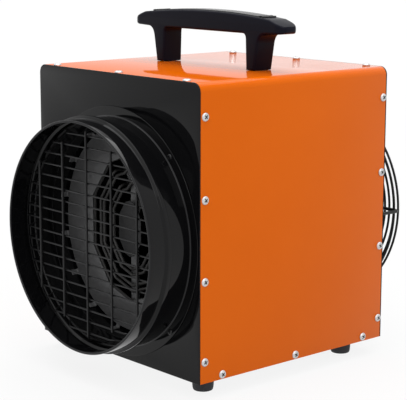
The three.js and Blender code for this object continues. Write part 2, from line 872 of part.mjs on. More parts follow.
part('duct_spigot', ductSpigot(), blackGloss, airPath);
part('outlet_grille', outletGrille(), blackWire, airPath);
part('inner_duct', innerDuct(), blackGloss, airPath);
part('baffle_plate', bafflePlate(), zincSheet, airPath);
['outer', 'middle', 'inner'].forEach((place, i) => {
  part(`heating_element_${place}`, heatingElement(apothems[i]), elementSteel, airPath);
});
part('element_bracket', elementBracket(), zincSheet, airPath);
part('deflector_disc', deflectorDisc(), zincSheet, airPath);
part('terminal_strip_upper', terminalStrip(apothems.map((a) => turnCorners(a)[turnStart])), zincSheet, airPath);
part('terminal_strip_side', terminalStrip(apothems.map(elementStop)), zincSheet, airPath);

// -------------------------------------------------------------------------- fan

/** Ring round the blades, with a bell mouth and a flange out to the duct. */
function fanShroud() {
  const back = rearInside - fit;
  const front = back - shroudLength;
  const mouth = [];
  for (let step = 0; step <= bevelSteps; step++) {
    const angle = ((step / bevelSteps) * Math.PI) / 2;
    const [radius, depth] = [1 - Math.cos(angle), 1 - Math.sin(angle)].map((share) => bellRadius * share);
    mouth.push([shroudRadius + radius, back - depth]);
  }
  const outside = shroudRadius + shroudSheet;
  return turned([
    [shroudRadius, front],
    ...mouth,
    [ductReach, back],
    [ductReach, back - shroudSheet],
    [shroudRadius + bellRadius, back - shroudSheet],
    [outside, back - bellRadius],
    [outside, front],
  ], midRound);
}

/** A box bent into one twisted, swept fan blade; local y = 0 at the blade's middle. */
function fanBlade(turn) {
  const { degToRad, lerp } = THREE.MathUtils;
  const root = hubRadius - hubWall / 2;
  const blade = new THREE.BoxGeometry(impellerRadius - root, bladeSheet, bladeChord, bladeSteps, 1, bladeSteps);
  const place = blade.attributes.position;
  for (let i = 0; i < place.count; i++) {
    const share = (place.getX(i) + (impellerRadius - root) / 2) / (impellerRadius - root);
    const radius = root + share * (impellerRadius - root);
    const pitch = degToRad(lerp(bladeRootAngle, bladeTipAngle, share));
    const along = place.getZ(i) * lerp(bladeRootShare, 1, share);
    const camber = bladeCamber * bladeChord * (1 - ((2 * along) / bladeChord) ** 2);
    const rise = place.getY(i) + camber;
    const y = along * Math.sin(pitch) + rise * Math.cos(pitch);
    const aside = along * Math.cos(pitch) - rise * Math.sin(pitch) + bladeSweep * share ** 2;
    const angle = turn + aside / radius;
    place.setXYZ(i, radius * Math.cos(angle), y, radius * Math.sin(angle));
  }
  return blade;
}

/** Cup-shaped hub with a boss for the shaft, and the blades round it. */
function impeller() {
  const middle = rearInside - impellerSetback;
  const front = middle - hubLength / 2;
  const back = middle + hubLength / 2;
  const boss = shaftRadius + fit;
  const hub = turned([
    [boss, front],
    [hubRadius - hubRound, front],
    [hubRadius, front + hubRound],
    [hubRadius, back],
    [hubRadius - hubWall, back],
    [hubRadius - hubWall, front + hubRound + hubWall],
    [boss + hubBossWall, front + hubRound / 2 + hubWall],
    [boss + hubBossWall, front + hubBossLength],
    [boss, front + hubBossLength],
  ], smallRound);
  const blades = [];
  for (let i = 0; i < bladeCount; i++) {
    blades.push(fanBlade((2 * Math.PI * i) / bladeCount).translate(0, middle, 0));
  }
  return join(hub, ...blades);
}

const spokePlane = rearFace + guardReach - (guardWire + guardSpokeWire) / 2 + weldSink;
const mountPlateBack = spokePlane - guardSpokeWire / 2 - fit;
const motorBack = mountPlateBack - mountPlateSheet - fit;
const motorFront = motorBack - motorLength;
const shaftFront = rearInside - impellerSetback - hubLength / 2 - shaftTip;

/** Ribbed motor case with a bearing boss at the front, bored for the shaft. */
function motorCase() {
  const bore = shaftRadius + running;
  const groove = motorRadius - motorRibDepth;
  const profile = [
    [0, motorFront + shaftHold],
    [bore, motorFront + shaftHold],
    [bore, motorFront - motorBossLength],
    [motorBossRadius, motorFront - motorBossLength],
    [motorBossRadius, motorFront],
    [groove, motorFront],
  ];
  const pitch = (motorLength - motorCapLength) / motorRibCount;
  const flank = pitch * motorRibFlank;
  const crest = pitch * motorRibCrest;
  for (let i = 0; i < motorRibCount; i++) {
    const middle = motorFront + (i + 0.5) * pitch;
    profile.push([groove, middle - crest / 2 - flank], [motorRadius, middle - crest / 2]);
    profile.push([motorRadius, middle + crest / 2], [groove, middle + crest / 2 + flank]);
  }
  profile.push([groove, motorBack - motorCapLength], [motorCapRadius, motorBack - motorCapLength]);
  profile.push([motorCapRadius, motorBack], [0, motorBack]);
  return turned(profile, discRound);
}

/** Shaft from the motor through the impeller's boss. */
function motorShaft() {
  return rod('y', shaftRadius, shaftFront, motorFront + shaftHold - endPlay, pinRound);
}

/** Disc that joins the motor to the guard, with a hole for each motor screw. */
function motorMount() {
  const front = mountPlateBack - mountPlateSheet;
  const disc = rod('y', mountPlateRadius, front, mountPlateBack, discRound);
  const holes = [];
  for (let i = 0; i < 4; i++) {
    const hole = rod('y', mountScrewRadius, front - lap, mountPlateBack + lap, pinRound);
    holes.push(hole.translate(mountScrewCircle, 0, 0).rotateY(((i + 0.5) * Math.PI) / 2));
  }
  return cut(disc, ...holes);
}

/** Facets round a ring: a multiple of four, so that a corner lies on every spoke. */
function ringSteps(radius) {
  const quarterTurn = (Math.PI / 2) * radius;
  return 4 * Math.round(quarterTurn / guardFacet);
}

/** Welded basket over the inlet: rings, four spokes bent forward as legs, and their eyes. */
function rearGuard() {
  const ringY = rearFace + guardReach;
  const eyeY = rearFace + fit + guardEyeSheet / 2;
  const pieces = [ring(guardRadius, guardWire, ringY - guardRimStep, ringSteps(guardRadius))];
  for (let i = 0; i < guardRingCount; i++) {
    const radius = guardRadius - i * guardRingPitch;
    pieces.push(ring(radius, guardWire, ringY, ringSteps(radius)));
  }
  const legRadius = guardRadius + (guardWire + guardSpokeWire) / 2 - weldSink;
  const corners = [[-legRadius, eyeY], [-legRadius, spokePlane], [legRadius, spokePlane], [legRadius, eyeY]];
  const route = corners.map(([x, y]) => [x, y, 0]);
  for (const turn of [0, Math.PI / 2]) {
    pieces.push(wire(route, guardSpokeWire, wireSides, guardLegBend, 1).rotateY(turn));
  }
  for (let i = 0; i < 4; i++) {
    const eye = cut(
      rod('y', guardEyeRadius, eyeY - guardEyeSheet / 2, eyeY + guardEyeSheet / 2, pinRound),
      rod('y', guardEyeHole, eyeY - guardEyeSheet, eyeY + guardEyeSheet, pinRound),
    );
    pieces.push(eye.translate(legRadius + guardEyeRadius - lap, 0, 0).rotateY((i * Math.PI) / 2));
  }
  return join(...pieces);
}

part('fan_shroud', fanShroud(), blackGloss, airPath);
part('fan_impeller', impeller(), blackPlastic, airPath);
part('motor_case', motorCase(), castMetal, airPath);
part('motor_shaft', motorShaft(), zincSheet, airPath);
part('motor_mount', motorMount(), blackWire, airPath);
part('rear_guard', rearGuard(), blackWire, airPath);

// --------------------------------------------------------------------- controls

/** A body behind the panel with a threaded bush through it, bored for its spindle. */
function panelBody([width, height, depth], bore) {
  const bushEnd = panelSheet + bushLength;
  const shell = block(-width / 2, width / 2, -depth, -fit, -height / 2, height / 2);
  const bush = rod('y', bushRadius, -lap, bushEnd, smallRound);
  return cut(join(shell, bush), rod('y', bore, -depth / 2, bushEnd + lap, smallRound));
}

/** Fluted knob with a raised pointer, bored for its spindle; y = 0 on the panel's face. */
function knob() {
  const stepsPerFlute = 4;
  const steps = knobFlutes * stepsPerFlute;
  const corners = [];
  for (let i = 0; i < steps; i++) {
    const angle = (2 * Math.PI * i) / steps;
    const radius = knobRadius - (i % stepsPerFlute === 0 ? knobFluteDepth : 0);
    corners.push(new THREE.Vector2(radius * Math.cos(angle), radius * Math.sin(angle)));
  }
  const base = bushLength + knobLift;
  const top = base + knobLength;
  const face = top - pointerHeight;
  const grip = plate(new THREE.Shape(corners), base, face);
  const half = pointerWidth / 2;
  const pointer = block(-half, half, face - lap, top, -pointerTail, knobRadius - pointerInset);
  return cut(join(grip, pointer), rod('y', spindleRadius + fit, base - lap, base + spindleReach, pinRound));
}

/** Spindle turned by a knob; y = 0 on the panel's face. */
function spindle(depth) {
  const inner = -panelSheet - depth / 2 + endPlay;
  return rod('y', spindleRadius, inner, bushLength + knobLift + spindleReach - endPlay, pinRound);
}

/** Round body of the overheat cut-out, with its bush through the panel. */
function cutoutBody() {
  const bushEnd = panelSheet + cutoutBushLength;
  const shell = rod('y', cutoutBodyRadius, -cutoutBodyLength, -fit, discRound);
  const bush = rod('y', bushRadius, -lap, bushEnd, smallRound);
  const bore = rod('y', resetRadius + fit, -cutoutBodyLength / 2, bushEnd + lap, smallRound);
  return cut(join(shell, bush), bore);
}

/** Hexagon nut that holds the cut-out's bush. */
function resetNut() {
  const top = fit + resetNutHeight;
  const nut = rod('y', resetNutRadius, fit, top, hexagonSides);
  return cut(nut, rod('y', bushRadius + fit, fit - lap, top + lap, smallRound));
}

/** Push pin of the cut-out; at rest it stands out by its travel and a little more. */
function resetButton() {
  const inner = -panelSheet - cutoutBodyLength / 2 + resetTravel + endPlay;
  const top = cutoutBushLength + resetTravel + resetProud;
  return turned([
    [0, inner],
    [resetRadius, inner],
    [resetRadius, top - resetRounding],
    [resetRadius - resetRounding, top],
    [0, top],
  ], smallRound);
}

/** Lamp body through the panel with a domed lens. */
function pilotLamp() {
  const domeBase = lampBezelHeight + lampBezelSlope;
  const dome = [0, 0.5, 1].map((share) => {
    const angle = (share * Math.PI) / 2;
    return [lampRadius * Math.cos(angle), domeBase + lampDome * Math.sin(angle)];
  });
  dome.at(-1)[0] = 0;
  return turned([
    [0, -lampBodyLength],
    [lampBodyRadius, -lampBodyLength],
    [lampBodyRadius, -panelSheet - lampCollar],
    [lampRadius, -panelSheet - lampCollar],
    [lampRadius, fit],
    [lampBezelRadius, fit],
    [lampBezelRadius, lampBezelHeight],
    ...dome,
  ], smallRound);
}

/** Cable gland: threaded body with its hexagon, and an open bore where no cable is fitted. */
function cableGland() {
  const threadEnd = -panelSheet - glandThreadLength;
  const domeStart = glandHexHeight - lap;
  const body = rod('y', glandThreadRadius, threadEnd, fit + lap, discRound);
  const hexagon = rod('y', glandHexRadius, fit, glandHexHeight, hexagonSides);
  const dome = new THREE.CylinderGeometry(
    glandBoreRadius + glandDomeWall, glandThreadRadius + glandDomeStep, glandLength - domeStart, discRound,
  );
  dome.translate(0, (domeStart + glandLength) / 2, 0);
  const bore = rod('y', glandBoreRadius, threadEnd - lap, glandLength + lap, smallRound);
  return cut(join(body, hexagon, dome), bore);
}

/** Hexagon nut on the gland's thread, inside the panel. */
function glandLocknut() {
  const back = -panelSheet - fit;
  const front = back - glandNutHeight;
  const nut = rod('y', glandHexRadius, front, back, hexagonSides);
  return cut(nut, rod('y', glandThreadRadius + fit, front - lap, back + lap, discRound));
}

/** Sheet over the duct that keeps its heat from the controls, edges turned up at the sides. */
function heatShield() {
  const x = wrapInside - fit;
  const insideRims = x - panelSheet - fit;
  const y = rearInside - fit - ductSheet - fit;
  return join(
    block(-insideRims, insideRims, -y, y, 0, shieldSheet),
    block(-x, x, -betweenRims, betweenRims, 0, shieldSheet),
    ...turnedEdges(x, shieldSheet, shieldFlange),
  );
}

/** Block of screw terminals, walled between its ways. */
function terminalBlock() {
  const [length, depth, height] = terminalBlockSize;
  const half = terminalWallSheet / 2;
  const wallY = depth / 2 - terminalWallInset;
  const walls = [];
  for (let i = 0; i < terminalWallCount; i++) {
    const x = (i / (terminalWallCount - 1) - 0.5) * (length - terminalWallSheet);
    walls.push(block(x - half, x + half, -wallY, wallY, terminalBaseHeight - lap, height));
  }
  return join(block(-length / 2, length / 2, -depth / 2, depth / 2, 0, terminalBaseHeight), ...walls);
}

/** Sensing bulb and its fine tube, as far as the thermostat's body. */
function capillary() {
  const [, , bodyDepth] = thermostatBodySize;
  const start = -panelSheet - fit - bodyDepth - fit;
  const bulbBack = start - bulbStandoff;
  const [x, z] = [capillaryAside, -capillaryDrop];
  const bulb = rod('y', bulbRadius, bulbBack - bulbLength, bulbBack, pinRound).translate(x, 0, z);
  const route = [
    [0, start, 0],
    [0, start - capillaryStraight, 0],
    [x, start - capillaryStraight - capillaryCrossing, z],
    [x, bulbBack - lap, z],
  ];
  return join(bulb, wire(route, capillaryTube, tubeSides, capillaryBend));
}

const controls = new THREE.Group(); // y = 0 on the rear panel's outer face
controls.position.set(0, rearFace, controlHeight);
casing.add(controls);

/** Puts a piece at its place along the panel. */
function control(name, geometry, material, x) {
  part(name, geometry, material, controls).position.x = x;
}

/** A piece made with y = 0 on the panel's inner face. */
const inward = (geometry) => geometry.translate(0, -panelSheet, 0);

const spindleBore = spindleRadius + running;
const thermostatBody = inward(panelBody(thermostatBodySize, spindleBore));
const selectorBody = inward(panelBody(selectorBodySize, spindleBore));
control('thermostat_body', thermostatBody, whitePlastic, thermostatX);
control('thermostat_spindle', spindle(thermostatBodySize[2]), zincSheet, thermostatX);
control('thermostat_knob', knob(), blackPlastic, thermostatX);
control('thermostat_capillary', capillary(), copper, thermostatX);
control('selector_body', selectorBody, blackPlastic, selectorX);
control('selector_spindle', spindle(selectorBodySize[2]), zincSheet, selectorX);
control('selector_knob', knob(), blackPlastic, selectorX);
control('cutout_body', inward(cutoutBody()), whitePlastic, resetX);
control('cutout_nut', resetNut(), zincSheet, resetX);
control('reset_button', resetButton(), redPlastic, resetX);
control('pilot_lamp', pilotLamp(), amberLens, lampX);
control('cable_gland', cableGland(), blackPlastic, glandX);
control('gland_locknut', glandLocknut(), blackPlastic, glandX);
part('heat_shield', heatShield(), zincSheet, casing).position.z = shieldHeight;
part('terminal_block', terminalBlock(), whitePlastic, casing).position.set(
  glandX - terminalBlockAside,
  rearFace - terminalBlockInset,
  shieldHeight + shieldSheet + fit,
);

export default heater;
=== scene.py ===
# Portable forced air heater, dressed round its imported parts. Metres in the end, sizes
# written in millimetres; +Z up, -Y the way the warm air leaves. The sections follow the
# heater as it is put together, from its feet up and from its spigot back.

from functools import partial
from math import cos, hypot, pi, radians, sin, sqrt, tan

import bmesh
import bpy
from mathutils import Matrix, Vector


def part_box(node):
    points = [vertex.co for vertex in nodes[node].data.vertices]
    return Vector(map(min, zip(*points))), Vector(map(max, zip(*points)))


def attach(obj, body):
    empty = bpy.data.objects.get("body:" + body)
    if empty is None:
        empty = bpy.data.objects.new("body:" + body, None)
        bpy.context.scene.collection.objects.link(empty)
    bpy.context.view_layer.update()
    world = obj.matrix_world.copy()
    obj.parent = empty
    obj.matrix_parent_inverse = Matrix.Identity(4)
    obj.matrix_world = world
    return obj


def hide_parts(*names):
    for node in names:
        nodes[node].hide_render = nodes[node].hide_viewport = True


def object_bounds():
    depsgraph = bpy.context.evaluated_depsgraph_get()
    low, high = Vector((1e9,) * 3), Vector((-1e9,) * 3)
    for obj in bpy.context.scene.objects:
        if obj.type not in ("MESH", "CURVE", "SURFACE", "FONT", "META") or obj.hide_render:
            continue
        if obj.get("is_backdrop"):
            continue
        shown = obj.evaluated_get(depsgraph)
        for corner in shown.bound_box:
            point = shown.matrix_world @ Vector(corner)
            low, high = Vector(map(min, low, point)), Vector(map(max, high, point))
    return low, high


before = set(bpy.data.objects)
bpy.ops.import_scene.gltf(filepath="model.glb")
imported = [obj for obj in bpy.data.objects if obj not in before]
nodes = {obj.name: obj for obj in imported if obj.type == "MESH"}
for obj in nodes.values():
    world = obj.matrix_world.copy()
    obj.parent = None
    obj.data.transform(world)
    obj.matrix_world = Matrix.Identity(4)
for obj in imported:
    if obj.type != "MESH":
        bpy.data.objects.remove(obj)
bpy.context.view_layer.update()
mm = 0.001


# ---- Rubber feet
# Four moulded rubber feet carry the casing, each held by a pan head screw up its middle.
# They are turned shapes, a little narrower at the ground, with the lower edge well rounded.

TINY, LEAST_TURN, ROUND_SHARE, CREASE = 1e-6, 0.2, 0.49, 32


def middle(node):
    """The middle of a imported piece's box, in millimetres."""
    return tuple((low + high) / 2 / mm for low, high in zip(*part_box(node)))


def swept(start, bend, end, steps):
    """A round way from start to end, pulled towards a bend."""
    start, bend, end = Vector(start), Vector(bend), Vector(end)
    shares = [step / steps for step in range(steps + 1)]
    return [tuple(start * (1 - t) ** 2 + bend * (2 * t * (1 - t)) + end * t ** 2) for t in shares]


def soften(corners, radius, steps=3, closed=True):
    """A path of 2-D corners with each of them rounded, as far as its neighbours allow."""
    path = []
    for i, corner in enumerate(corners):
        if not closed and i in (0, len(corners) - 1):
            path.append(tuple(corner))
            continue
        here = Vector(corner)
        back = Vector(corners[i - 1]) - here
        ahead = Vector(corners[(i + 1) % len(corners)]) - here
        reach = min(back.length, ahead.length) * ROUND_SHARE
        turn = pi - back.angle(ahead)
        if turn < LEAST_TURN or reach < TINY:
            path.append(tuple(corner))
            continue
        trim = min(radius * tan(turn / 2), reach)
        path += swept(here + back.normalized() * trim, here, here + ahead.normalized() * trim, steps)
    return path


def placed(name, data):
    """An object of its own for a mesh, a curve, a lamp or a camera."""
    made = bpy.data.objects.new(name, data)
    bpy.context.scene.collection.objects.link(made)
    return made


def smoothed(mesh, crease=CREASE):
    """A mesh with smooth shading, but for edges past the crease angle."""
    mesh.shade_smooth()
    mesh.set_sharp_from_angle(angle=radians(crease))
    return mesh


def shown(name, work, crease=CREASE, weld=0.0):
    """A piece from a bmesh, first welded where a reach is given."""
    if weld:
        bmesh.ops.remove_doubles(work, verts=work.verts, dist=weld)
        bmesh.ops.recalc_face_normals(work, faces=work.faces)
    mesh = bpy.data.meshes.new(name)
    work.to_mesh(mesh)
    work.free()
    return placed(name, smoothed(mesh, crease))


def new_piece(name, corners, faces, crease=CREASE):
    """A piece from its corners, in millimetres, and its faces."""
    work = bmesh.new()
    made = [work.verts.new(Vector(corner) * mm) for corner in corners]
    for face in faces:
        work.faces.new([made[i] for i in face])
    return shown(name, work, crease, weld=TINY)


def turned(name, profile, centre, steps=96, crease=CREASE, upright=False):
    """A piece turned about an axis through centre, along Y or upright: [radius, distance] corners."""
    corners, faces, rows = [], [], []
    for radius, along in profile:
        row = []
        for step in range(steps if radius > TINY else 1):
            angle = 2 * pi * step / steps
            across, up = radius * cos(angle), radius * sin(angle)
            row.append(len(corners))
            corners.append(Vector((across, up, along) if upright else (across, along, up)) + Vector(centre))
        rows.append(row)
    pairs = list(zip(rows, rows[1:]))
    if profile[0][0] > TINY:
        pairs.append((rows[-1], rows[0]))
    for one, other in pairs:
        for step in range(steps):
            after = (step + 1) % steps
            ring = ((one, step), (one, after), (other, after), (other, step))
            face = list(dict.fromkeys(row[i % len(row)] for row, i in ring))
            if len(face) > 2:
                faces.append(face)
    return new_piece(name, corners, faces, crease)


def fit_out(piece, finish, slot, *stands_for, body="heater"):
    """Gives a made piece its finish and its body, in place of the plain solids it stands for."""
    piece.data.materials.clear()
    piece.data.materials.append(finish)
    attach(piece, body)
    if stands_for:
        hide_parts(*stands_for)


def feed(tree, node, **inputs):
    """Feeds a node's inputs, by name or by number as _0, each with a value or from an output."""
    for key, value in inputs.items():
        socket = node.inputs[int(key[1:]) if key[0] == "_" else key.replace("_", " ")]
        if isinstance(value, bpy.types.NodeSocket):
            tree.links.new(value, socket)
        else:
            socket.default_value = value


def add_node(tree, kind, settings=None, **inputs):
    """The outputs of a new node, from its settings and its inputs."""
    made = tree.nodes.new(kind)
    for key, value in (settings or {}).items():
        setattr(made, key, value)
    feed(tree, made, **inputs)
    return made.outputs


def new_group(name, kind, inputs, outputs):
    """A node group from its sockets' names and types, what it is given, and the way to add to it."""
    tree = bpy.data.node_groups.new(name, kind)
    for way, sockets in (("INPUT", inputs), ("OUTPUT", outputs)):
        for socket, form in sockets.items():
            tree.interface.new_socket(socket, in_out=way, socket_type="NodeSocket" + form)
    return tree, tree.nodes.new("NodeGroupInput").outputs, partial(add_node, tree)


# Fine grain all over a skin, and soft patches where it has been handled
skin_grain, given, add = new_group(
    "skin_grain", "ShaderNodeTree", {"Grain Scale": "Float", "Patch Scale": "Float"},
    {"Grain": "Float", "Patches": "Float"})
place = add("ShaderNodeTexCoord")["Object"]
grain = add("ShaderNodeTexNoise", Vector=place, Scale=given["Grain Scale"], Detail=2.0, Roughness=0.55)
patches = add("ShaderNodeTexNoise", Vector=place, Scale=given["Patch Scale"], Detail=5.0, Roughness=0.6)
spread = add("ShaderNodeMapRange", Value=patches["Fac"], From_Min=0.3, From_Max=0.7)
feed(skin_grain, skin_grain.nodes.new("NodeGroupOutput"), Grain=grain["Fac"], Patches=spread["Result"])


def two_tone(name, tones, roughness, group, masks, bump, depth, shader, **scales):
    """A finish whose first mask mixes its tones and its roughness, and whose second is its relief."""
    material = bpy.data.materials.new(name)
    material.use_nodes = True
    tree = material.node_tree
    skin = add_node(tree, "ShaderNodeGroup", {"node_tree": group}, **scales)
    mask, relief = (skin[mask] for mask in masks)
    feed(
        tree, tree.nodes["Principled BSDF"], **shader,
        Base_Color=add_node(tree, "ShaderNodeMix", {"data_type": "RGBA"}, Factor=mask,
                            _6=(*tones[0], 1), _7=(*tones[1], 1))[2],
        Roughness=add_node(tree, "ShaderNodeMapRange", Value=mask, To_Min=roughness[0],
                           To_Max=roughness[1])["Result"],
        Normal=add_node(tree, "ShaderNodeBump", Height=relief, Strength=bump, Distance=depth * mm)["Normal"])
    return material


def skin_finish(name, tones, roughness, grain, bump, patch=14.0, depth=0.05, **shader):
    """A painted or moulded finish: two close tones in soft patches, and a fine grain in relief."""
    return two_tone(name, tones, roughness, skin_grain, ("Patches", "Grain"), bump, depth, shader,
                    Grain_Scale=grain, Patch_Scale=patch)


black_rubber = skin_finish(
    "black_rubber", [(0.018, 0.018, 0.021), (0.024, 0.024, 0.028)], (0.62, 0.78), grain=2200, bump=0.35)

FEET = ["foot_" + place for place in ("front_left", "front_right", "rear_left", "rear_right")]
FOOT_RECESS, FOOT_RECESS_DEPTH, FOOT_HOLE, FOOT_ROUNDING = 5.5, 7.0, 3.0, 1.8
SOLE_INSET, TREAD_INSET, TREAD_RISE, FOOT_BAND = 1.6, 0.9, 4.0, 2
for node in FEET:
    low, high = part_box(node)
    radius, top = (high.x - low.x) / 2 / mm, high.z / mm
    flank = [(FOOT_RECESS, 0.0), (radius - SOLE_INSET, 0.0), (radius - TREAD_INSET, TREAD_RISE),
             (radius, top - FOOT_BAND), (radius, top)]
    hole = [(FOOT_HOLE, top), (FOOT_HOLE, FOOT_RECESS_DEPTH), (FOOT_RECESS, FOOT_RECESS_DEPTH)]
    foot = turned(node + "_rubber", soften(flank + hole, FOOT_ROUNDING, 4), (*middle(node)[:2], 0), 48,
                  upright=True)
    fit_out(foot, black_rubber, "black_rubber", node)


# ---- Base plate
# A galvanised steel tray closes the casing from below, its long edges turned up inside.
# The plain solid has its whole shape, so it stays and gets the spangled zinc skin.

# Crystals of a zinc skin as tones, and the faint lines that the rolls leave
zinc_skin, given, add = new_group(
    "zinc_skin", "ShaderNodeTree", {"Crystal Scale": "Float", "Line Scale": "Float"},
    {"Crystals": "Float", "Lines": "Float"})
place = add("ShaderNodeTexCoord")["Object"]
crystals = add("ShaderNodeTexVoronoi", {"feature": "F1"}, Vector=place, Scale=given["Crystal Scale"],
               Randomness=1.0)
shade = add("ShaderNodeSeparateColor", Color=crystals["Color"])
rolled = add("ShaderNodeMapping", Vector=place, Scale=(1.0, 0.04, 1.0))["Vector"]
lines = add("ShaderNodeTexNoise", Vector=rolled, Scale=given["Line Scale"], Detail=3.0, Roughness=0.6)
feed(zinc_skin, zinc_skin.nodes.new("NodeGroupOutput"), Crystals=shade["Red"], Lines=lines["Fac"])


def metal_finish(name, tones, roughness, crystal, line, bump, metallic=1.0):
    """A bare metal: crystals of two tones, roughness that follows them, and fine lines in relief."""
    return two_tone(name, tones, roughness, zinc_skin, ("Crystals", "Lines"), bump, 0.05,
                    {"Metallic": metallic}, Crystal_Scale=crystal, Line_Scale=line)


galvanised = metal_finish(
    "galvanised", [(0.36, 0.37, 0.38), (0.47, 0.48, 0.49)], (0.36, 0.50), 170, 400, 0.2)


def keep_solid(node, finish):
    """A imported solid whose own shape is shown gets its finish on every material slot."""
    nodes[node].data.materials.clear()
    nodes[node].data.materials.append(finish)


keep_solid("base_plate", galvanised)


# ---- Casing wrap
# One sheet of steel bent over the top and down both sides, powder coated in glossy orange.
# Its long bends are round, and its cut edges show their thickness beside the panels.

orange_coat = skin_finish(
    "orange_coat", [(0.605, 0.106, 0.0008), (0.630, 0.113, 0.0016)], (0.05, 0.08),
    grain=620, bump=0.03, patch=9.0, IOR=1.18)

WRAP_SHEET, WRAP_BEND, BEND_STEPS, WRAP_EDGE, SHARP_ANGLE = 1.2, 9.5, 14, 0.35, 40
wrap_low, wrap_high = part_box("casing_wrap")
casing_half = wrap_high.x / mm
casing_floor, casing_top = wrap_low.z / mm, wrap_high.z / mm


def casing_path(inset, bend):
    """The casing's outline from the left side's foot, over the top, to the right side's foot."""
    x, z = casing_half - inset, casing_top - inset
    path = [(-x, casing_floor)]
    for side, start in ((-1, pi), (1, pi / 2)):
        for step in range(BEND_STEPS + 1):
            angle = start - pi / 2 * step / BEND_STEPS
            path.append((side * (x - bend) + bend * cos(angle), z - bend + bend * sin(angle)))
    return path + [(x, casing_floor)]


def worked_out(piece):
    """The plain mesh that a piece comes to with its modifiers or curve settings."""
    bpy.context.view_layer.update()
    return bpy.data.meshes.new_from_object(piece.evaluated_get(bpy.context.evaluated_depsgraph_get()))


def round_edges(piece, width, segments=2):
    """Rounds a piece's sharp edges, and keeps the result as its mesh."""
    bevel = piece.modifiers.new("edge", "BEVEL")
    bevel.width, bevel.segments, bevel.angle_limit = width * mm, segments, radians(SHARP_ANGLE)
    piece.data = smoothed(worked_out(piece))
    piece.modifiers.clear()
    return piece


def side_faces(count):
    """Faces between two outlines of count corners that are listed one after the other."""
    return [(i, (i + 1) % count, count + (i + 1) % count, count + i) for i in range(count)]


outside, inside = casing_path(0, WRAP_BEND), casing_path(WRAP_SHEET, WRAP_BEND - WRAP_SHEET)
section = outside + inside[::-1]
count = len(section)
corners = [(x, end / mm, z) for end in (wrap_low.y, wrap_high.y) for x, z in section]
faces = side_faces(count)
for i in range(len(outside) - 1):
    for end in (0, count):
        faces.append((end + i, end + i + 1, end + count - 2 - i, end + count - 1 - i))
wrap = round_edges(new_piece("casing_wrap_sheet", corners, faces), WRAP_EDGE)
fit_out(wrap, orange_coat, "orange_paint", "casing_wrap")


# ---- Front and rear panels
# Flat steel panels in gloss black, pressed with the big round hole for the air and with a rim
# turned into the casing that the side screws hold. The rear one is also pierced for the controls.

black_gloss = skin_finish(
    "black_gloss", [(0.0026, 0.0026, 0.0030), (0.0036, 0.0036, 0.0040)], (0.015, 0.035),
    grain=620, bump=0.03, patch=9.0, IOR=1.26)

PANEL_SHEET, PANEL_RIM, PANEL_EDGE, FIT = 1.2, 15.0, 0.35, 0.3
OUTLET_RADIUS, INLET_RADIUS = 118.0, 112.0


def span(node):
    """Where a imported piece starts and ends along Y, in millimetres."""
    return tuple(corner.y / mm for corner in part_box(node))


front_face, rear_face = span("front_panel")[0], span("rear_panel")[1]
duct_z = middle("duct_spigot")[2]
duct_axis = (0, 0, duct_z)


def circle(x, z, radius, steps=128, start=0.0):
    """Places evenly round a circle in X and Z, the first a share of one step past the right."""
    angles = [2 * pi * (i + start) / steps for i in range(steps)]
    return [(x + radius * cos(angle), z + radius * sin(angle)) for angle in angles]


def pressed(name, loops, near, far, ease=0.3, rounds=2):
    """A flat piece in X and Z from its outline and holes, between two places along Y, edges eased."""
    drawing = bpy.data.curves.new(name, "CURVE")
    drawing.dimensions, drawing.fill_mode = "2D", "BOTH"
    drawing.extrude = (far - near) / 2 * mm - ease * mm
    drawing.bevel_depth, drawing.bevel_resolution, drawing.offset = ease * mm, rounds, -ease * mm
    for loop in loops:
        spline = drawing.splines.new("POLY")
        spline.points.add(len(loop) - 1)
        for point, (x, z) in zip(spline.points, loop):
            point.co = (x * mm, z * mm, 0, 1)
        spline.use_cyclic_u = True
    drawn = placed(name, drawing)
    mesh = worked_out(drawn)
    bpy.data.objects.remove(drawn)
    upright = Matrix.Rotation(pi / 2, 4, "X")
    mesh.transform(Matrix.Translation((0, (near + far) / 2 * mm, 0)) @ upright)
    work = bmesh.new()
    work.from_mesh(mesh)
    return shown(name, work, weld=2 * TINY)


def joined(name, *pieces):
    """Several made pieces as one, under a new name."""
    work = bmesh.new()
    for piece in pieces:
        work.from_mesh(piece.data)
        bpy.data.objects.remove(piece)
    return shown(name, work)


def panel(name, face, inward, holes):
    """A panel whose sheet lies inward of face and whose rim turns on into the casing."""
    back = face + inward * PANEL_SHEET
    sheet = pressed(name + "_sheet", [casing_path(0, WRAP_BEND), *holes], *sorted((face, back)), PANEL_EDGE)
    rim = []
    for tuck, lift in ((WRAP_SHEET + FIT, PANEL_SHEET + FIT),
                       (WRAP_SHEET + FIT + PANEL_SHEET, 2 * PANEL_SHEET + FIT)):
        loop = casing_path(tuck, WRAP_BEND - tuck)
        loop[0], loop[-1] = (loop[0][0], casing_floor + lift), (loop[-1][0], casing_floor + lift)
        rim.append(loop)
    turned_in = pressed(name + "_rim", rim, *sorted((back, face + inward * PANEL_RIM)), 0.1, 1)
    return joined(name, sheet, turned_in)


front = panel("front_panel_sheet", front_face, 1, [circle(0, duct_z, OUTLET_RADIUS)])
fit_out(front, black_gloss, "black_gloss", "front_panel")

dial_z = middle("thermostat_knob")[2]
CONTROL_BORE, LAMP_BORE, GLAND_HOLE = 5.3, 6.3, 12.8
control_holes = [circle(middle(node)[0], dial_z, radius, 32) for node, radius in (
    ("thermostat_spindle", CONTROL_BORE), ("selector_spindle", CONTROL_BORE),
    ("reset_button", CONTROL_BORE), ("pilot_lamp", LAMP_BORE), ("cable_gland", GLAND_HOLE))]
rear = panel("rear_panel_sheet", rear_face, -1, [circle(0, duct_z, INLET_RADIUS), *control_holes])
fit_out(rear, black_gloss, "black_gloss", "rear_panel")
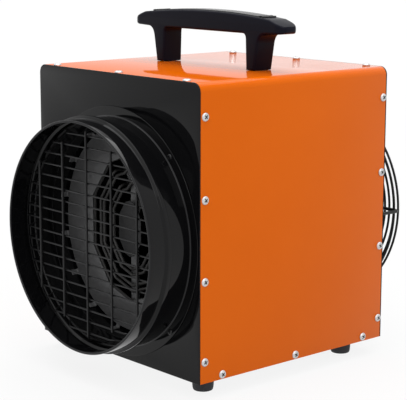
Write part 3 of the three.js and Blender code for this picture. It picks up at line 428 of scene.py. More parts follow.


# ---- Duct spigot
# The collar for the hose: rolled sheet with a raised bead that keeps the hose clamp on, a
# hemmed mouth, and a flange on the front panel. Gloss black; the mouth's hem and the fillet at
# the flange root are lighter and rougher, which is a painted highlight.

SPIGOT_RADIUS, SPIGOT_SHEET, SPIGOT_FLANGE, ROOT, FOOT_RUN, EDGE_BAND = 125.0, 1.5, 1.0, 1.1, 8, 0.9
BEAD_START, BEAD_WIDTH, BEAD_RISE, BEAD_FLANK, BEAD_RUN = 26.5, 8.0, 3.0, 1.6, 1
HEM, HEM_LENGTH, HEM_CLOSE, MOUTH_RUN, BORE_RUN = 1.3, 4.5, 5.2, 6, 9
flange_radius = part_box("duct_spigot")[1].x / mm
mouth, spigot_foot = span("duct_spigot")
flange_front = spigot_foot - SPIGOT_FLANGE
bore = SPIGOT_RADIUS - SPIGOT_SHEET


def bead(radius):
    """The flat-topped bead's path at one skin of the sheet, back to front, as [radius, y] points."""
    back = front_face - FIT - BEAD_START
    front, crest = back - BEAD_WIDTH, radius + BEAD_RISE
    return soften([(radius, back + BEAD_RUN), (radius, back), (crest, back - BEAD_FLANK),
                   (crest, front + BEAD_FLANK), (radius, front), (radius, front - BEAD_RUN)], 0.7, 4, False)


spigot_profile = [
    *soften([(bore, spigot_foot), (flange_radius, spigot_foot), (flange_radius, flange_front),
             (SPIGOT_RADIUS + ROOT, flange_front), (SPIGOT_RADIUS, flange_front - ROOT),
             (SPIGOT_RADIUS, spigot_foot - FOOT_RUN)], 0.45, 3, False),
    *bead(SPIGOT_RADIUS),
    *soften([(SPIGOT_RADIUS, mouth + MOUTH_RUN), (SPIGOT_RADIUS, mouth), (bore - HEM, mouth),
             (bore - HEM, mouth + HEM_LENGTH), (bore, mouth + HEM_CLOSE), (bore, mouth + BORE_RUN)],
            0.9, 4, False),
    *bead(bore)[::-1],
]
black_collar = skin_finish(
    "black_collar", [(0.0020, 0.0020, 0.0023), (0.0030, 0.0030, 0.0034)], (0.04, 0.07),
    grain=620, bump=0.02, patch=11.0, IOR=1.28)
# A lighter, rougher black for the mouth's hem and the flange root: a painted highlight.
black_edge = skin_finish(
    "black_edge", [(0.007, 0.007, 0.008), (0.010, 0.010, 0.011)], (0.16, 0.26),
    grain=900, bump=0.10, patch=30.0, IOR=1.28)
spigot = turned("duct_spigot_collar", spigot_profile, duct_axis, 176, crease=38)
fit_out(spigot, black_collar, "black_gloss", "duct_spigot")
spigot.data.materials.append(black_edge)
# Faces on the mouth's front band and the root fillet take the lighter black, a painted highlight.
for face in spigot.data.polygons:
    x, y, z = face.center / mm
    root = SPIGOT_RADIUS + 0.1 < hypot(x, z - duct_z) < SPIGOT_RADIUS + ROOT
    face.material_index = int(y < mouth + EDGE_BAND or (root and y > spigot_foot - FOOT_RUN))


# ---- Outlet grille
# A welded wire basket inside the spigot that keeps hands off the elements: eighteen rows
# bent back to a rim ring, with five bars welded across them, dip coated in black.

def new_tree(name, sizes):
    """A group that takes a geometry, some sizes and a finish, and gives a geometry."""
    return new_group(name, "GeometryNodeTree", {"Geometry": "Geometry", **sizes, "Finish": "Material"},
                     {"Geometry": "Geometry"})


def ended(tree, given, instances):
    """Ends a tree with real copies in the finish that it is given."""
    whole = add_node(tree, "GeometryNodeRealizeInstances", Geometry=instances)["Geometry"]
    coat = add_node(tree, "GeometryNodeSetMaterial", Geometry=whole, Material=given["Finish"])["Geometry"]
    feed(tree, tree.nodes.new("NodeGroupOutput"), Geometry=coat)


# Round wire swept along routes drawn as edges, with their corners bent round
bent_wire, given, add = new_tree(
    "bent_wire", {"Diameter": "Float", "Bend Radius": "Float", "Bend Steps": "Int", "Sides": "Int"})
route = add("GeometryNodeMeshToCurve", Mesh=given["Geometry"])["Curve"]
bent = add("GeometryNodeFilletCurve", {"mode": "POLY"}, Curve=route, Limit_Radius=True,
           Radius=given["Bend Radius"], Count=given["Bend Steps"])["Curve"]
half = add("ShaderNodeMath", {"operation": "MULTIPLY"}, _0=given["Diameter"], _1=0.5)["Value"]
section = add("GeometryNodeCurvePrimitiveCircle", Radius=half, Resolution=given["Sides"])["Curve"]
wire = add("GeometryNodeCurveToMesh", Curve=bent, Profile_Curve=section, Fill_Caps=True)["Mesh"]
ended(bent_wire, given, add("GeometryNodeSetShadeSmooth", Geometry=wire)["Geometry"])


def run_tree(piece, tree, **values):
    """Runs a tree on a piece with its named sizes, and keeps the result as a plain mesh."""
    modifier = piece.modifiers.new(tree.name, "NODES")
    modifier.node_group = tree
    for socket in tree.interface.items_tree:
        key = socket.name.replace(" ", "_")
        if socket.in_out == "INPUT" and key in values:
            modifier[socket.identifier] = values[key]
    mesh = worked_out(piece)
    piece.modifiers.clear()
    piece.data = mesh
    return piece


def wires(name, routes, diameter, finish, bend=5.0, bend_steps=5, sides=10):
    """Wires of one diameter along several routes; a route whose first point is its last is a ring."""
    mesh = bpy.data.meshes.new(name)
    points, edges = [], []
    for route in routes:
        ring = route[0] == route[-1]
        run = route[:-1] if ring else route
        first = len(points)
        points += [tuple(Vector(point) * mm) for point in run]
        edges += [(first + i, first + i + 1) for i in range(len(run) - 1)]
        if ring:
            edges.append((len(points) - 1, first))
    mesh.from_pydata(points, edges, [])
    return run_tree(placed(name, mesh), bent_wire, Diameter=diameter * mm, Bend_Radius=bend * mm,
                    Bend_Steps=bend_steps, Sides=sides, Finish=finish)


def hoop(radius, y, steps=96):
    """A closed circle about the duct's axis."""
    points = [(x, y, z) for x, z in circle(0, duct_z, radius, steps)]
    return points + points[:1]


black_dip = skin_finish(
    "black_dip", [(0.0040, 0.0040, 0.0044), (0.0060, 0.0060, 0.0064)], (0.26, 0.38),
    grain=1500, bump=0.12, patch=30.0, IOR=1.36)

ROWS, ROW_PITCH, ROW_WIRE, ROW_SETBACK = 18, 12.6, 2.0, 37.0
BAR_PITCH, BAR_WIRE, WELD = 42.6, 2.6, 0.35
BASKET_RADIUS, BASKET_BEND, BASKET_RING_WIRE, RIM_SETBACK = 113.0, 5.0, 3.4, 21.5
rim_radius = bore - FIT - BASKET_RING_WIRE / 2
row_y, rim_y = front_face - ROW_SETBACK, front_face - RIM_SETBACK
bar_y = row_y - (ROW_WIRE + BAR_WIRE) / 2 + WELD
row_routes = []
for i in range(ROWS):
    rise = (i - (ROWS - 1) / 2) * ROW_PITCH
    z = duct_z + rise
    flat = sqrt(BASKET_RADIUS ** 2 - rise ** 2)
    end = sqrt(rim_radius ** 2 - rise ** 2)
    row_routes.append([(-end, rim_y, z), (-flat, row_y, z), (flat, row_y, z), (end, rim_y, z)])
bar_routes = [[(0, rim_y, duct_z - rim_radius + 1), (0, bar_y, duct_z - BASKET_RADIUS),
               (0, bar_y, duct_z + BASKET_RADIUS), (0, rim_y, duct_z + rim_radius - 1)]]
for step in (-2, -1, 1, 2):
    x = step * BAR_PITCH
    rows_reached = int(sqrt(BASKET_RADIUS ** 2 - x * x) / ROW_PITCH + 0.5) - 0.5
    reach = rows_reached * ROW_PITCH + ROW_WIRE
    bar_routes.append([(x, bar_y, duct_z - reach), (x, bar_y, duct_z + reach)])
basket = joined(
    "outlet_grille_basket",
    wires("grille_rows", row_routes, ROW_WIRE, black_dip, BASKET_BEND),
    wires("grille_bars", bar_routes, BAR_WIRE, black_dip, BASKET_BEND),
    wires("grille_rim", [hoop(rim_radius, rim_y, 120)], BASKET_RING_WIRE, black_dip, 0.5, 1, 12),
)
fit_out(basket, black_dip, "black_wire", "outlet_grille")


# ---- Inner duct and baffle
# Behind the panel a round steel duct leads the air from the fan. A plate closes it round the
# elements, held by sixteen tabs that are bent forwards along the duct.

DUCT_RADIUS, DUCT_SHEET, DUCT_FLANGE = 118.5, 1.0, 9.0
duct_outside = DUCT_RADIUS + DUCT_SHEET
duct_edge = duct_outside + DUCT_FLANGE
near, far = span("inner_duct")
flanges = [(duct_edge, near), (duct_edge, near + DUCT_SHEET), (duct_outside, near + DUCT_SHEET),
           (duct_outside, far - DUCT_SHEET), (duct_edge, far - DUCT_SHEET), (duct_edge, far)]
duct_profile = soften([(DUCT_RADIUS, near), *flanges, (DUCT_RADIUS, far)], 0.4, 2)
duct = turned("inner_duct_tube", duct_profile, duct_axis, 128)
fit_out(duct, black_collar, "black_gloss", "inner_duct")

BAFFLE_RADIUS, BAFFLE_SHEET, BAFFLE_SETBACK = 114.0, 1.0, 19.0
TABS, TAB_WIDTH, TAB_REACH, TAB_SHEET, TAB_OVERLAP, TAB_GAP = 16, 6.0, 8.0, 1, 2, 0.5
WINDOW_APOTHEM, TURN_SIDES, TURN_RISE = 66.3, 10, 12.0
baffle_front = front_face + BAFFLE_SETBACK
baffle_back = baffle_front + BAFFLE_SHEET


def turn_corners(apothem):
    """Corners of a ten-sided turn, taller than wide, with upright left and right sides, as (x, z)."""
    step = 2 * pi / TURN_SIDES
    corners = []
    for i in range(TURN_SIDES):
        here, after = i * step, (i + 1) * step
        first, second = (apothem + TURN_RISE * sin(angle) ** 2 for angle in (here, after))
        x = (first * sin(after) - second * sin(here)) / sin(step)
        z = (second * cos(here) - first * cos(after)) / sin(step)
        corners.append((x, duct_z + z))
    return corners


# A piece repeated evenly round an axis along Y through its centre
round_the_duct, given, add = new_tree(
    "round_the_duct", {"Count": "Int", "Start": "Float", "Centre": "Vector"})
spots = add("GeometryNodePoints", Count=given["Count"], Position=given["Centre"])["Points"]
number = add("GeometryNodeInputIndex")["Index"]
step = add("ShaderNodeMath", {"operation": "DIVIDE"}, _0=2 * pi, _1=given["Count"])["Value"]
turn = add("ShaderNodeMath", {"operation": "MULTIPLY_ADD"}, _0=number, _1=step, _2=given["Start"])["Value"]
about = add("ShaderNodeCombineXYZ", Y=turn)["Vector"]
copies = add("GeometryNodeInstanceOnPoints", Points=spots, Instance=given["Geometry"], Rotation=about)
ended(round_the_duct, given, copies["Instances"])


def round_duct(piece, count, finish, start=0.0):
    """Copies of a piece made about the origin's Y axis, set evenly round the duct."""
    return run_tree(piece, round_the_duct, Count=count, Start=start,
                    Centre=(0, 0, duct_z * mm), Finish=finish)


dull_steel = metal_finish(
    "dull_steel", [(0.104, 0.104, 0.106), (0.132, 0.132, 0.134)], (0.48, 0.60), 300, 500, 0.3, 0.45)


def bent_tab():
    """One tab: flat on the baffle's edge, then turned forwards along the duct."""
    reach, foot, lip = DUCT_RADIUS - TAB_GAP, BAFFLE_RADIUS - TAB_OVERLAP, baffle_front - TAB_REACH
    outline = soften([(foot, baffle_front), (reach - TAB_SHEET, baffle_front), (reach - TAB_SHEET, lip),
                      (reach, lip), (reach, baffle_back), (foot, baffle_back)], 0.9, 3)
    count = len(outline)
    corners = [(r, y, side * TAB_WIDTH / 2) for side in (-1, 1) for r, y in outline]
    faces = [tuple(range(count)), tuple(range(count, 2 * count)), *side_faces(count)]
    return round_edges(new_piece("tab", corners, faces), 0.15, 1)


baffle = pressed("baffle_sheet", [circle(0, duct_z, BAFFLE_RADIUS), turn_corners(WINDOW_APOTHEM)],
                 baffle_front, baffle_back, 0.2, 1)
tabs = round_duct(bent_tab(), TABS, dull_steel, pi / TABS)
fit_out(joined("baffle_plate_and_tabs", baffle, tabs), dull_steel, "dark_steel", "baffle_plate")


# ---- Heating elements
# Three steel-sheathed tubes, each bent into two ten-sided turns side by side, with cold ends
# turned back through the terminal strips. The whole sheath is one dark, dull steel.

element_steel = metal_finish(
    "element_steel", [(0.026, 0.025, 0.0245), (0.038, 0.037, 0.036)], (0.46, 0.58), 90, 900, 0.25, 0.35)

APOTHEMS = {"outer": 73.5, "middle": 56.1, "inner": 38.7}
TUBE, TURN_PITCH, TUBE_SETBACK, ELEMENT_BEND = 3.5, 6.2, 2.8, 5.5
COLD_END, PIN, PIN_LENGTH, STOP_SHARE = 34.0, 3.0, 9.0, 0.4
element_y = baffle_back + TUBE_SETBACK
behind = element_y + COLD_END
for place, apothem in APOTHEMS.items():
    outer, inner = turn_corners(apothem), turn_corners(apothem - TURN_PITCH)
    start = outer[3]
    crossing = tuple((a + b) / 2 for a, b in zip(inner[2], inner[3]))
    stop = tuple(a + (b - a) * STOP_SHARE for a, b in zip(inner[0], inner[1]))
    flat_run = outer[3:] + outer[:3] + [crossing] + inner[3:] + [inner[0], stop]
    route = [(start[0], behind, start[1]), *[(x, element_y, z) for x, z in flat_run],
             (stop[0], behind, stop[1])]
    ends = [[(x, behind - 1, z), (x, behind + PIN_LENGTH, z)] for x, z in (start, stop)]
    tube = wires("element_tube", [route], TUBE, element_steel, ELEMENT_BEND, 6, 16)
    pins = wires("element_pins", ends, PIN, element_steel, 0.5, 1, 10)
    element = joined("heating_element_" + place + "_tube", tube, pins)
    fit_out(element, element_steel, "element_steel", "heating_element_" + place)


# ---- Element bracket, terminal strips and deflector
# A steel strip runs up the duct behind the elements and two shorter strips hold their ends.
# A ten-sided plate in the middle, on a boss on the bracket, turns the air out onto them.

for node in ("element_bracket", "terminal_strip_upper", "terminal_strip_side"):
    keep_solid(node, dull_steel)

DEFLECTOR_APOTHEM, DEFLECTOR_BOSS = 19.0, 6.0
seat = span("deflector_disc")[1]
dark_plate = metal_finish(
    "dark_plate", [(0.019, 0.019, 0.020), (0.025, 0.025, 0.026)], (0.50, 0.62), 300, 500, 0.3, 0.4)
deflector = pressed("deflector_sheet", [turn_corners(DEFLECTOR_APOTHEM)], baffle_front, baffle_back, 0.2, 1)
boss_front = baffle_front + BAFFLE_SHEET / 2
boss = turned("deflector_boss", [(0, boss_front), (DEFLECTOR_BOSS, boss_front), (DEFLECTOR_BOSS, seat),
                                 (0, seat)], duct_axis, 48)
fit_out(joined("deflector_plate_and_boss", deflector, boss), dark_plate, "dark_steel", "deflector_disc")


# ---- Fan shroud
# A ring round the blade tips with a bell mouth towards the inlet, held in the duct.
# Rolled sheet, gloss black like the panels.

SHROUD_RADIUS, SHROUD_SHEET, SHROUD_LENGTH, BELL, BELL_STEPS, RIM_GAP = 102.0, 1.2, 48.0, 9.0, 8, 0.6
shroud_back = rear_face - PANEL_SHEET - FIT
shroud_front = shroud_back - SHROUD_LENGTH
shroud_outside, shroud_rim = SHROUD_RADIUS + SHROUD_SHEET, DUCT_RADIUS - RIM_GAP
bell_angles = [i * pi / 2 / BELL_STEPS for i in range(BELL_STEPS + 1)]
shroud = turned("fan_shroud_ring", [
    (SHROUD_RADIUS, shroud_front),
    *[(SHROUD_RADIUS + BELL * (1 - cos(angle)), shroud_back - BELL * (1 - sin(angle)))
      for angle in bell_angles],
    (shroud_rim, shroud_back), (shroud_rim, shroud_back - SHROUD_SHEET),
    (SHROUD_RADIUS + BELL, shroud_back - SHROUD_SHEET), (shroud_outside, shroud_back - BELL),
    (shroud_outside, shroud_front)], duct_axis, 128)
fit_out(shroud, black_gloss, "black_gloss", "fan_shroud")


# ---- Impeller and motor shaft
# Six swept, twisted blades on a cup-shaped hub, moulded in one in glass-filled black plastic,
# pressed on the motor's ground steel shaft. Both turn together.

black_plastic = skin_finish(
    "black_plastic", [(0.0028, 0.0029, 0.0070), (0.0038, 0.0039, 0.0088)], (0.28, 0.36),
    grain=1600, bump=0.22, patch=18.0, IOR=1.17)

HUB_RADIUS, HUB_WALL, HUB_LENGTH, HUB_SHOULDER, SOCKET_WALL, SOCKET = 33.0, 2.5, 34.0, 4, 4, 20
BLADES, BLADE_CHORD, BLADE_SHEET, TIP_RADIUS, BLADE_SETBACK = 6, 62.0, 2.0, 98.5, 28.0
ROOT_PITCH, TIP_PITCH, SWEEP, ROOT_CHORD, CAMBER = 44.0, 27.0, 18.0, 0.62, 0.06
TIP_START, TIP_CURVE, THINNING, BLADE_ROWS, CHORD_STEPS, SHAFT_RADIUS = 0.9, 30, 0.45, 14, 12, 4.0
blade_middle = rear_face - PANEL_SHEET - BLADE_SETBACK
hub_front, hub_back = blade_middle - HUB_LENGTH / 2, blade_middle + HUB_LENGTH / 2


def blade():
    """One blade about the origin's Y axis: sheet with rounded edges, bent, twisted and swept."""
    root = HUB_RADIUS - HUB_WALL / 2
    chords = [step / CHORD_STEPS - 0.5 for step in range(1, CHORD_STEPS)]
    rim = [(-0.5, 0.0), *[(chord, 1.0) for chord in chords], (0.5, 0.0)]
    rim += [(chord, -1.0) for chord in reversed(chords)]
    count = len(rim)
    corners, faces = [], []
    for i in range(BLADE_ROWS + 1):
        share = i / BLADE_ROWS
        radius = root + share * (TIP_RADIUS - root)
        pitch = radians(ROOT_PITCH + (TIP_PITCH - ROOT_PITCH) * share)
        rounding = sqrt(max(0.0, 1 - max(0.0, share - TIP_START) ** 2 * TIP_CURVE))
        for chord, skin in rim:
            along = chord * BLADE_CHORD * (ROOT_CHORD + (1 - ROOT_CHORD) * share) * rounding
            camber = CAMBER * BLADE_CHORD * (1 - (2 * along / BLADE_CHORD) ** 2)
            rise = skin * BLADE_SHEET / 2 * (1 - THINNING * abs(2 * chord) ** 3) + camber
            y = along * sin(pitch) + rise * cos(pitch)
            angle = (along * cos(pitch) - rise * sin(pitch) + SWEEP * share ** 2) / radius
            corners.append((radius * cos(angle), blade_middle + y, radius * sin(angle)))
        if i < BLADE_ROWS:
            faces += [tuple(i * count + corner for corner in face) for face in side_faces(count)]
    faces += [tuple(range(count)), tuple(BLADE_ROWS * count + j for j in range(count))]
    return new_piece("blade", corners, faces, crease=50)


socket, cup = SHAFT_RADIUS + FIT, HUB_RADIUS - HUB_WALL
hub = turned("hub", soften([
    (socket, hub_front), (HUB_RADIUS - HUB_SHOULDER, hub_front), (HUB_RADIUS, hub_front + HUB_SHOULDER),
    (HUB_RADIUS, hub_back), (cup, hub_back), (cup, hub_front + HUB_SHOULDER + HUB_WALL),
    (socket + SOCKET_WALL, hub_front + HUB_WALL + 2), (socket + SOCKET_WALL, hub_front + SOCKET),
    (socket, hub_front + SOCKET)], 1.2, 3), duct_axis, 64)
impeller = joined("fan_impeller_moulding", hub, round_duct(blade(), BLADES, black_plastic))
fit_out(impeller, black_plastic, "black_plastic", "fan_impeller", body="rotor")

ground_steel = metal_finish(
    "ground_steel", [(0.50, 0.50, 0.50), (0.56, 0.56, 0.56)], (0.20, 0.28), 60, 1800, 0.15)
near, far = span("motor_shaft")
shaft = turned("motor_shaft_bar", [(0, near), *soften([
    (1, near), (SHAFT_RADIUS, near), (SHAFT_RADIUS, far), (1, far)], 0.6, 2, False), (0, far)], duct_axis, 40)
fit_out(shaft, ground_steel, "zinc_sheet", "motor_shaft", body="rotor")


# ---- Motor and its mount
# A small die-cast motor with cooling ribs and a flat end cap, screwed to a black disc that
# the inlet guard carries at its middle.

cast_metal = skin_finish(
    "cast_metal", [(0.23, 0.235, 0.24), (0.29, 0.295, 0.30)], (0.42, 0.55),
    grain=1100, bump=0.45, patch=26.0, depth=0.08, Metallic=0.85)

MOTOR_RADIUS, MOTOR_CAP, CAP_RADIUS, RIB_DEPTH, RIBS = 38.0, 9.0, 30.0, 3.0, 6
BOSS_RADIUS, BOSS_LENGTH, SHAFT_RUN, SHAFT_SEAT = 10.0, 4.0, 0.4, 20.0
RIB_START, RIB_CREST, RIB_FALL, RIB_END, MOUNT_CIRCLE, MOUNT_HOLE = 0.25, 0.12, 0.42, 0.54, 22, 2.2
boss_y, motor_back = span("motor_case")
motor_front, cap_front = boss_y + BOSS_LENGTH, motor_back - MOTOR_CAP
shaft_hole, seat_end = SHAFT_RADIUS + SHAFT_RUN, motor_front + SHAFT_SEAT
rib_root = MOTOR_RADIUS - RIB_DEPTH
skin = [(shaft_hole, motor_front - BOSS_LENGTH), (BOSS_RADIUS, motor_front - BOSS_LENGTH),
        (BOSS_RADIUS, motor_front), (rib_root, motor_front)]
rib_pitch = (cap_front - motor_front) / RIBS
for i in range(RIBS):
    y = motor_front + (i + RIB_START) * rib_pitch
    skin += [(rib_root, y), (MOTOR_RADIUS, y + RIB_CREST * rib_pitch),
             (MOTOR_RADIUS, y + RIB_FALL * rib_pitch), (rib_root, y + RIB_END * rib_pitch)]
skin += [(rib_root, cap_front), (CAP_RADIUS, cap_front), (CAP_RADIUS, motor_back), (0.5, motor_back)]
motor = turned("motor_case_casting", [(0, seat_end), (shaft_hole, seat_end), *soften(skin, 0.7, 2, False),
                                      (0, motor_back)], duct_axis, 72)
fit_out(motor, cast_metal, "cast_metal", "motor_case")

mount_front, mount_back = span("motor_mount")
mount_spots = circle(0, duct_z, MOUNT_CIRCLE, 4, 0.5)
mount = pressed("motor_mount_disc", [circle(0, duct_z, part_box("motor_mount")[1].x / mm, 96),
                                     *[circle(x, z, MOUNT_HOLE, 20) for x, z in mount_spots]],
                mount_front, mount_back, 0.4)
fit_out(mount, black_dip, "black_wire", "motor_mount")


# ---- Inlet guard
# The welded basket over the fan: eleven rings and a second rim ring on two crossed spokes
# whose ends are bent forwards as legs, each with an eye for its screw.

GUARD_RADIUS, GUARD_PITCH, GUARD_RINGS, GUARD_WIRE, GUARD_WELD = 120.0, 6.7, 11, 2.8, 0.5
SPOKE_WIRE, LEG_BEND, RIM_STEP, EYE_RADIUS, EYE_SHEET, EYE_HOLE = 4.0, 5.0, 7.0, 6.5, 2.0, 2.5
guard_y = span("rear_guard")[1] - GUARD_WIRE / 2
spoke_y = guard_y - (GUARD_WIRE + SPOKE_WIRE) / 2 + GUARD_WELD
leg_radius = GUARD_RADIUS + (GUARD_WIRE + SPOKE_WIRE) / 2 - GUARD_WELD
eye_y = rear_face + FIT + EYE_SHEET / 2
rings = [hoop(GUARD_RADIUS, guard_y - RIM_STEP)]
rings += [hoop(GUARD_RADIUS - i * GUARD_PITCH, guard_y) for i in range(GUARD_RINGS)]
legs = ((-leg_radius, eye_y), (-leg_radius, spoke_y), (leg_radius, spoke_y), (leg_radius, eye_y))
spokes = [[(reach, y, duct_z) for reach, y in legs], [(0, y, duct_z + reach) for reach, y in legs]]
eyes = [pressed("eye", [circle(x, z, EYE_RADIUS, 40), circle(x, z, EYE_HOLE, 24)],
                eye_y - EYE_SHEET / 2, eye_y + EYE_SHEET / 2, 0.4)
        for x, z in circle(0, duct_z, leg_radius + EYE_RADIUS - 1, 4)]
guard = joined(
    "rear_guard_basket",
    wires("guard_rings", rings, GUARD_WIRE, black_dip, 0.3, 1, 8),
    wires("guard_spokes", spokes, SPOKE_WIRE, black_dip, LEG_BEND, 5, 12),
    *eyes,
)
fit_out(guard, black_dip, "black_wire", "rear_guard")


# ---- Controls
# Along the top of the rear panel: a thermostat and a selector with fluted knobs, a reset
# button for the overheat cut-out, a pilot lamp, and the gland for the supply cable.

white_plastic = skin_finish(
    "white_plastic", [(0.62, 0.61, 0.57), (0.68, 0.67, 0.63)], (0.38, 0.48), grain=1500, bump=0.15)
copper = metal_finish(
    "drawn_copper", [(0.62, 0.25, 0.11), (0.72, 0.33, 0.17)], (0.22, 0.34), 220, 1200, 0.15)
for finish, slot, *kept in (
    (white_plastic, "white_plastic", "thermostat_body", "cutout_body", "terminal_block"),
    (black_plastic, "black_plastic", "selector_body", "gland_locknut"),
    (copper, "copper", "thermostat_capillary"),
    (galvanised, "zinc_sheet", "heat_shield", "handle_bolt_left", "handle_bolt_right"),
    (ground_steel, "zinc_sheet", "thermostat_spindle", "selector_spindle"),
):
    for node in kept:
        keep_solid(node, finish)

KNOB_FLUTES, FLUTE_DEPTH, FLUTE_STEPS, KNOB_BORE, GRIP_DROP, CAP_DROP = 18, 1.1, 8, 3.3, 4, 5
CAP_CORNERS = ((8, 2), (3, 3.2), (3, CAP_DROP))
RIDGE_HALF, RIDGE_TAIL, RIDGE_INSET = 2.4, -9, 1.5
MARK_HALF, MARK_START, MARK_INSET, MARK_SINK, MARK_RISE = 0.6, 4, 2.6, 0.1, 0.15


def upright_bar(x, half, start, end, rounding, steps):
    """Outline of an upright bar on a knob, from start to end above the controls' line."""
    low, high = dial_z + start, dial_z + end
    return soften([(x - half, low), (x + half, low), (x + half, high), (x - half, high)], rounding, steps)


for dial in ("thermostat", "selector"):
    low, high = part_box(dial + "_knob")
    x, (near, far) = middle(dial + "_spindle")[0], span(dial + "_knob")
    radius = (high.x - low.x) / 2 / mm
    outline = []
    for i in range(KNOB_FLUTES * FLUTE_STEPS):
        angle = 2 * pi * i / (KNOB_FLUTES * FLUTE_STEPS)
        fluted = radius - FLUTE_DEPTH * max(0.0, cos(KNOB_FLUTES * angle)) ** 2
        outline.append((x + fluted * cos(angle), dial_z + fluted * sin(angle)))
    grip = pressed("grip", [outline, circle(x, dial_z, KNOB_BORE, 24)], near, far - GRIP_DROP, 1.0, 3)
    cap_rim = soften([(radius - inset, far - drop) for inset, drop in CAP_CORNERS], 1.0, 3, False)
    cap = turned("cap", [(0, far - CAP_CORNERS[0][1]), *cap_rim, (0, far - CAP_DROP)],
                 (x, 0, dial_z), 64)
    ridge = pressed("ridge", [upright_bar(x, RIDGE_HALF, RIDGE_TAIL, radius - RIDGE_INSET, 1.6, 4)],
                    far - CAP_DROP, far, 0.7, 3)
    fit_out(joined(dial + "_knob_moulding", grip, cap, ridge), black_plastic, "black_plastic",
            dial + "_knob", body=dial + "_dial")
    mark = pressed(dial + "_knob_mark", [upright_bar(x, MARK_HALF, MARK_START, radius - MARK_INSET, 0.5, 3)],
                   far - MARK_SINK, far + MARK_RISE, 0.05, 1)
    fit_out(mark, white_plastic, "white_plastic", body=dial + "_dial")


def hexagon(x, reach):
    """A hexagon on the controls' line, with a corner at its top."""
    angles = [i * pi / 3 for i in range(6)]
    return [(x + reach * sin(angle), dial_z + reach * cos(angle)) for angle in angles]


NUT_REACH = 8
zinc_plate = metal_finish(
    "zinc_plate", [(0.58, 0.585, 0.59), (0.66, 0.665, 0.67)], (0.24, 0.34), 400, 900, 0.12)
x = middle("cutout_nut")[0]
nut = pressed("cutout_nut_hexagon", [hexagon(x, NUT_REACH), circle(x, dial_z, CONTROL_BORE, 32)],
              *span("cutout_nut"), 0.4)
fit_out(nut, zinc_plate, "zinc_sheet", "cutout_nut")

BUTTON_RADIUS, BUTTON_DISH, BUTTON_MIDDLE = 4, 0.3, 0.35
red_plastic = skin_finish(
    "red_plastic", [(0.42, 0.022, 0.014), (0.47, 0.028, 0.018)], (0.24, 0.32), grain=1400, bump=0.08)
near, far = span("reset_button")
button = turned("reset_button_cap", [(0, near), *soften([
    (1, near), (BUTTON_RADIUS, near), (BUTTON_RADIUS, far), (1, far - BUTTON_DISH)], 1.1, 4, False),
    (0, far - BUTTON_MIDDLE)], (middle("reset_button")[0], 0, dial_z), 40)
fit_out(button, red_plastic, "red_plastic", "reset_button", body="reset")

LENS_STEM, LENS_RADIUS, LENS_STEP, DOME_START = 5, 6, -3, 3
LENS_RIM = ((8.5, FIT), (8.5, 2), (6.3, 2.6), (5.9, DOME_START))
amber_lens = skin_finish(
    "amber_lens", [(0.80, 0.27, 0.020), (0.86, 0.33, 0.030)], (0.10, 0.16),
    grain=300, bump=0.25, depth=0.2, Coat_Weight=0.5, Transmission_Weight=0.25)
near, far = span("pilot_lamp")
dome_base = rear_face + DOME_START
lens = [(0, near), (LENS_STEM, near), (LENS_STEM, rear_face + LENS_STEP),
        (LENS_RADIUS, rear_face + LENS_STEP), (LENS_RADIUS, rear_face + FIT),
        *soften([(radius, rear_face + rise) for radius, rise in LENS_RIM], 0.5, 3, False),
        *[(LENS_RADIUS * cos(i * pi / 16), dome_base + (far - dome_base) * sin(i * pi / 16))
          for i in range(1, 8)], (0, far)]
lamp = turned("pilot_lamp_lens", lens, (middle("pilot_lamp")[0], 0, dial_z), 48)
fit_out(lamp, amber_lens, "amber_lens", "pilot_lamp")

GLAND_BORE, THREAD, HEX, HEX_LENGTH, GLAND_LIP = 7.0, 12.5, 16.5, 7, 2.2
GLAND_STEPS = ((0, 6.5), (1, 6.5), (1, 12), (0, 12.6), (0, 13.4), (0.7, 14))
near, far = span("cable_gland")
x = middle("cable_gland")[0]
gland_tube = turned("gland_tube", soften([
    (GLAND_BORE, near), (THREAD, near), *[(THREAD + out, rear_face + rise) for out, rise in GLAND_STEPS],
    (GLAND_BORE + GLAND_LIP, far), (GLAND_BORE, far)], 0.8, 3), (x, 0, dial_z), 64)
gland_nut = pressed("gland_nut", [hexagon(x, HEX), circle(x, dial_z, THREAD - 0.5, 48)],
                    rear_face + FIT, rear_face + HEX_LENGTH, 0.6)
fit_out(joined("cable_gland_body", gland_tube, gland_nut), black_plastic, "black_plastic", "cable_gland")


# ---- Carrying handle
# A moulded black handle bolted through the casing's top: an arched grip with swept ends on
# two legs that flare into it, and a softer dark grey strip with lips let into its back.

GRIP_HALF, GRIP_DEPTH, GRIP_MIDDLE, GRIP_UNDER, GRIP_EDGE = 126.0, 27.5, 61.3, 39.5, 2.6
SHOULDER_X, GRIP_SHOULDER, LEG_INNER, LEG_OUTER, LEAST_WIDTH = 104.0, 56.0, 69.0, 82.0, 0.02
LEG_TO_GRIP = (62.0, GRIP_UNDER), (67.5, GRIP_UNDER), (67.8, 33.5)
LEG_TO_END = (87.0, 29.5), (89.0, GRIP_UNDER), (98.0, 40.0)
END_TO_TIP = (117.0, 40.7), (127.5, 41.5), (123.0, 49.0)
TIP_TO_BACK = END_TO_TIP[2], (114.0, 53.0)
END_CUTS = (0, 0.2, 0.38, 0.54, 0.68, 0.79, 0.87, 0.93)
handle_y = middle("handle")[1]


def arch(x):
    """Height of the grip's back above the casing's top."""
    drop = GRIP_MIDDLE - GRIP_SHOULDER
    radius = (SHOULDER_X ** 2 + drop ** 2) / (2 * drop)
    return GRIP_MIDDLE - radius + sqrt(radius ** 2 - x * x)


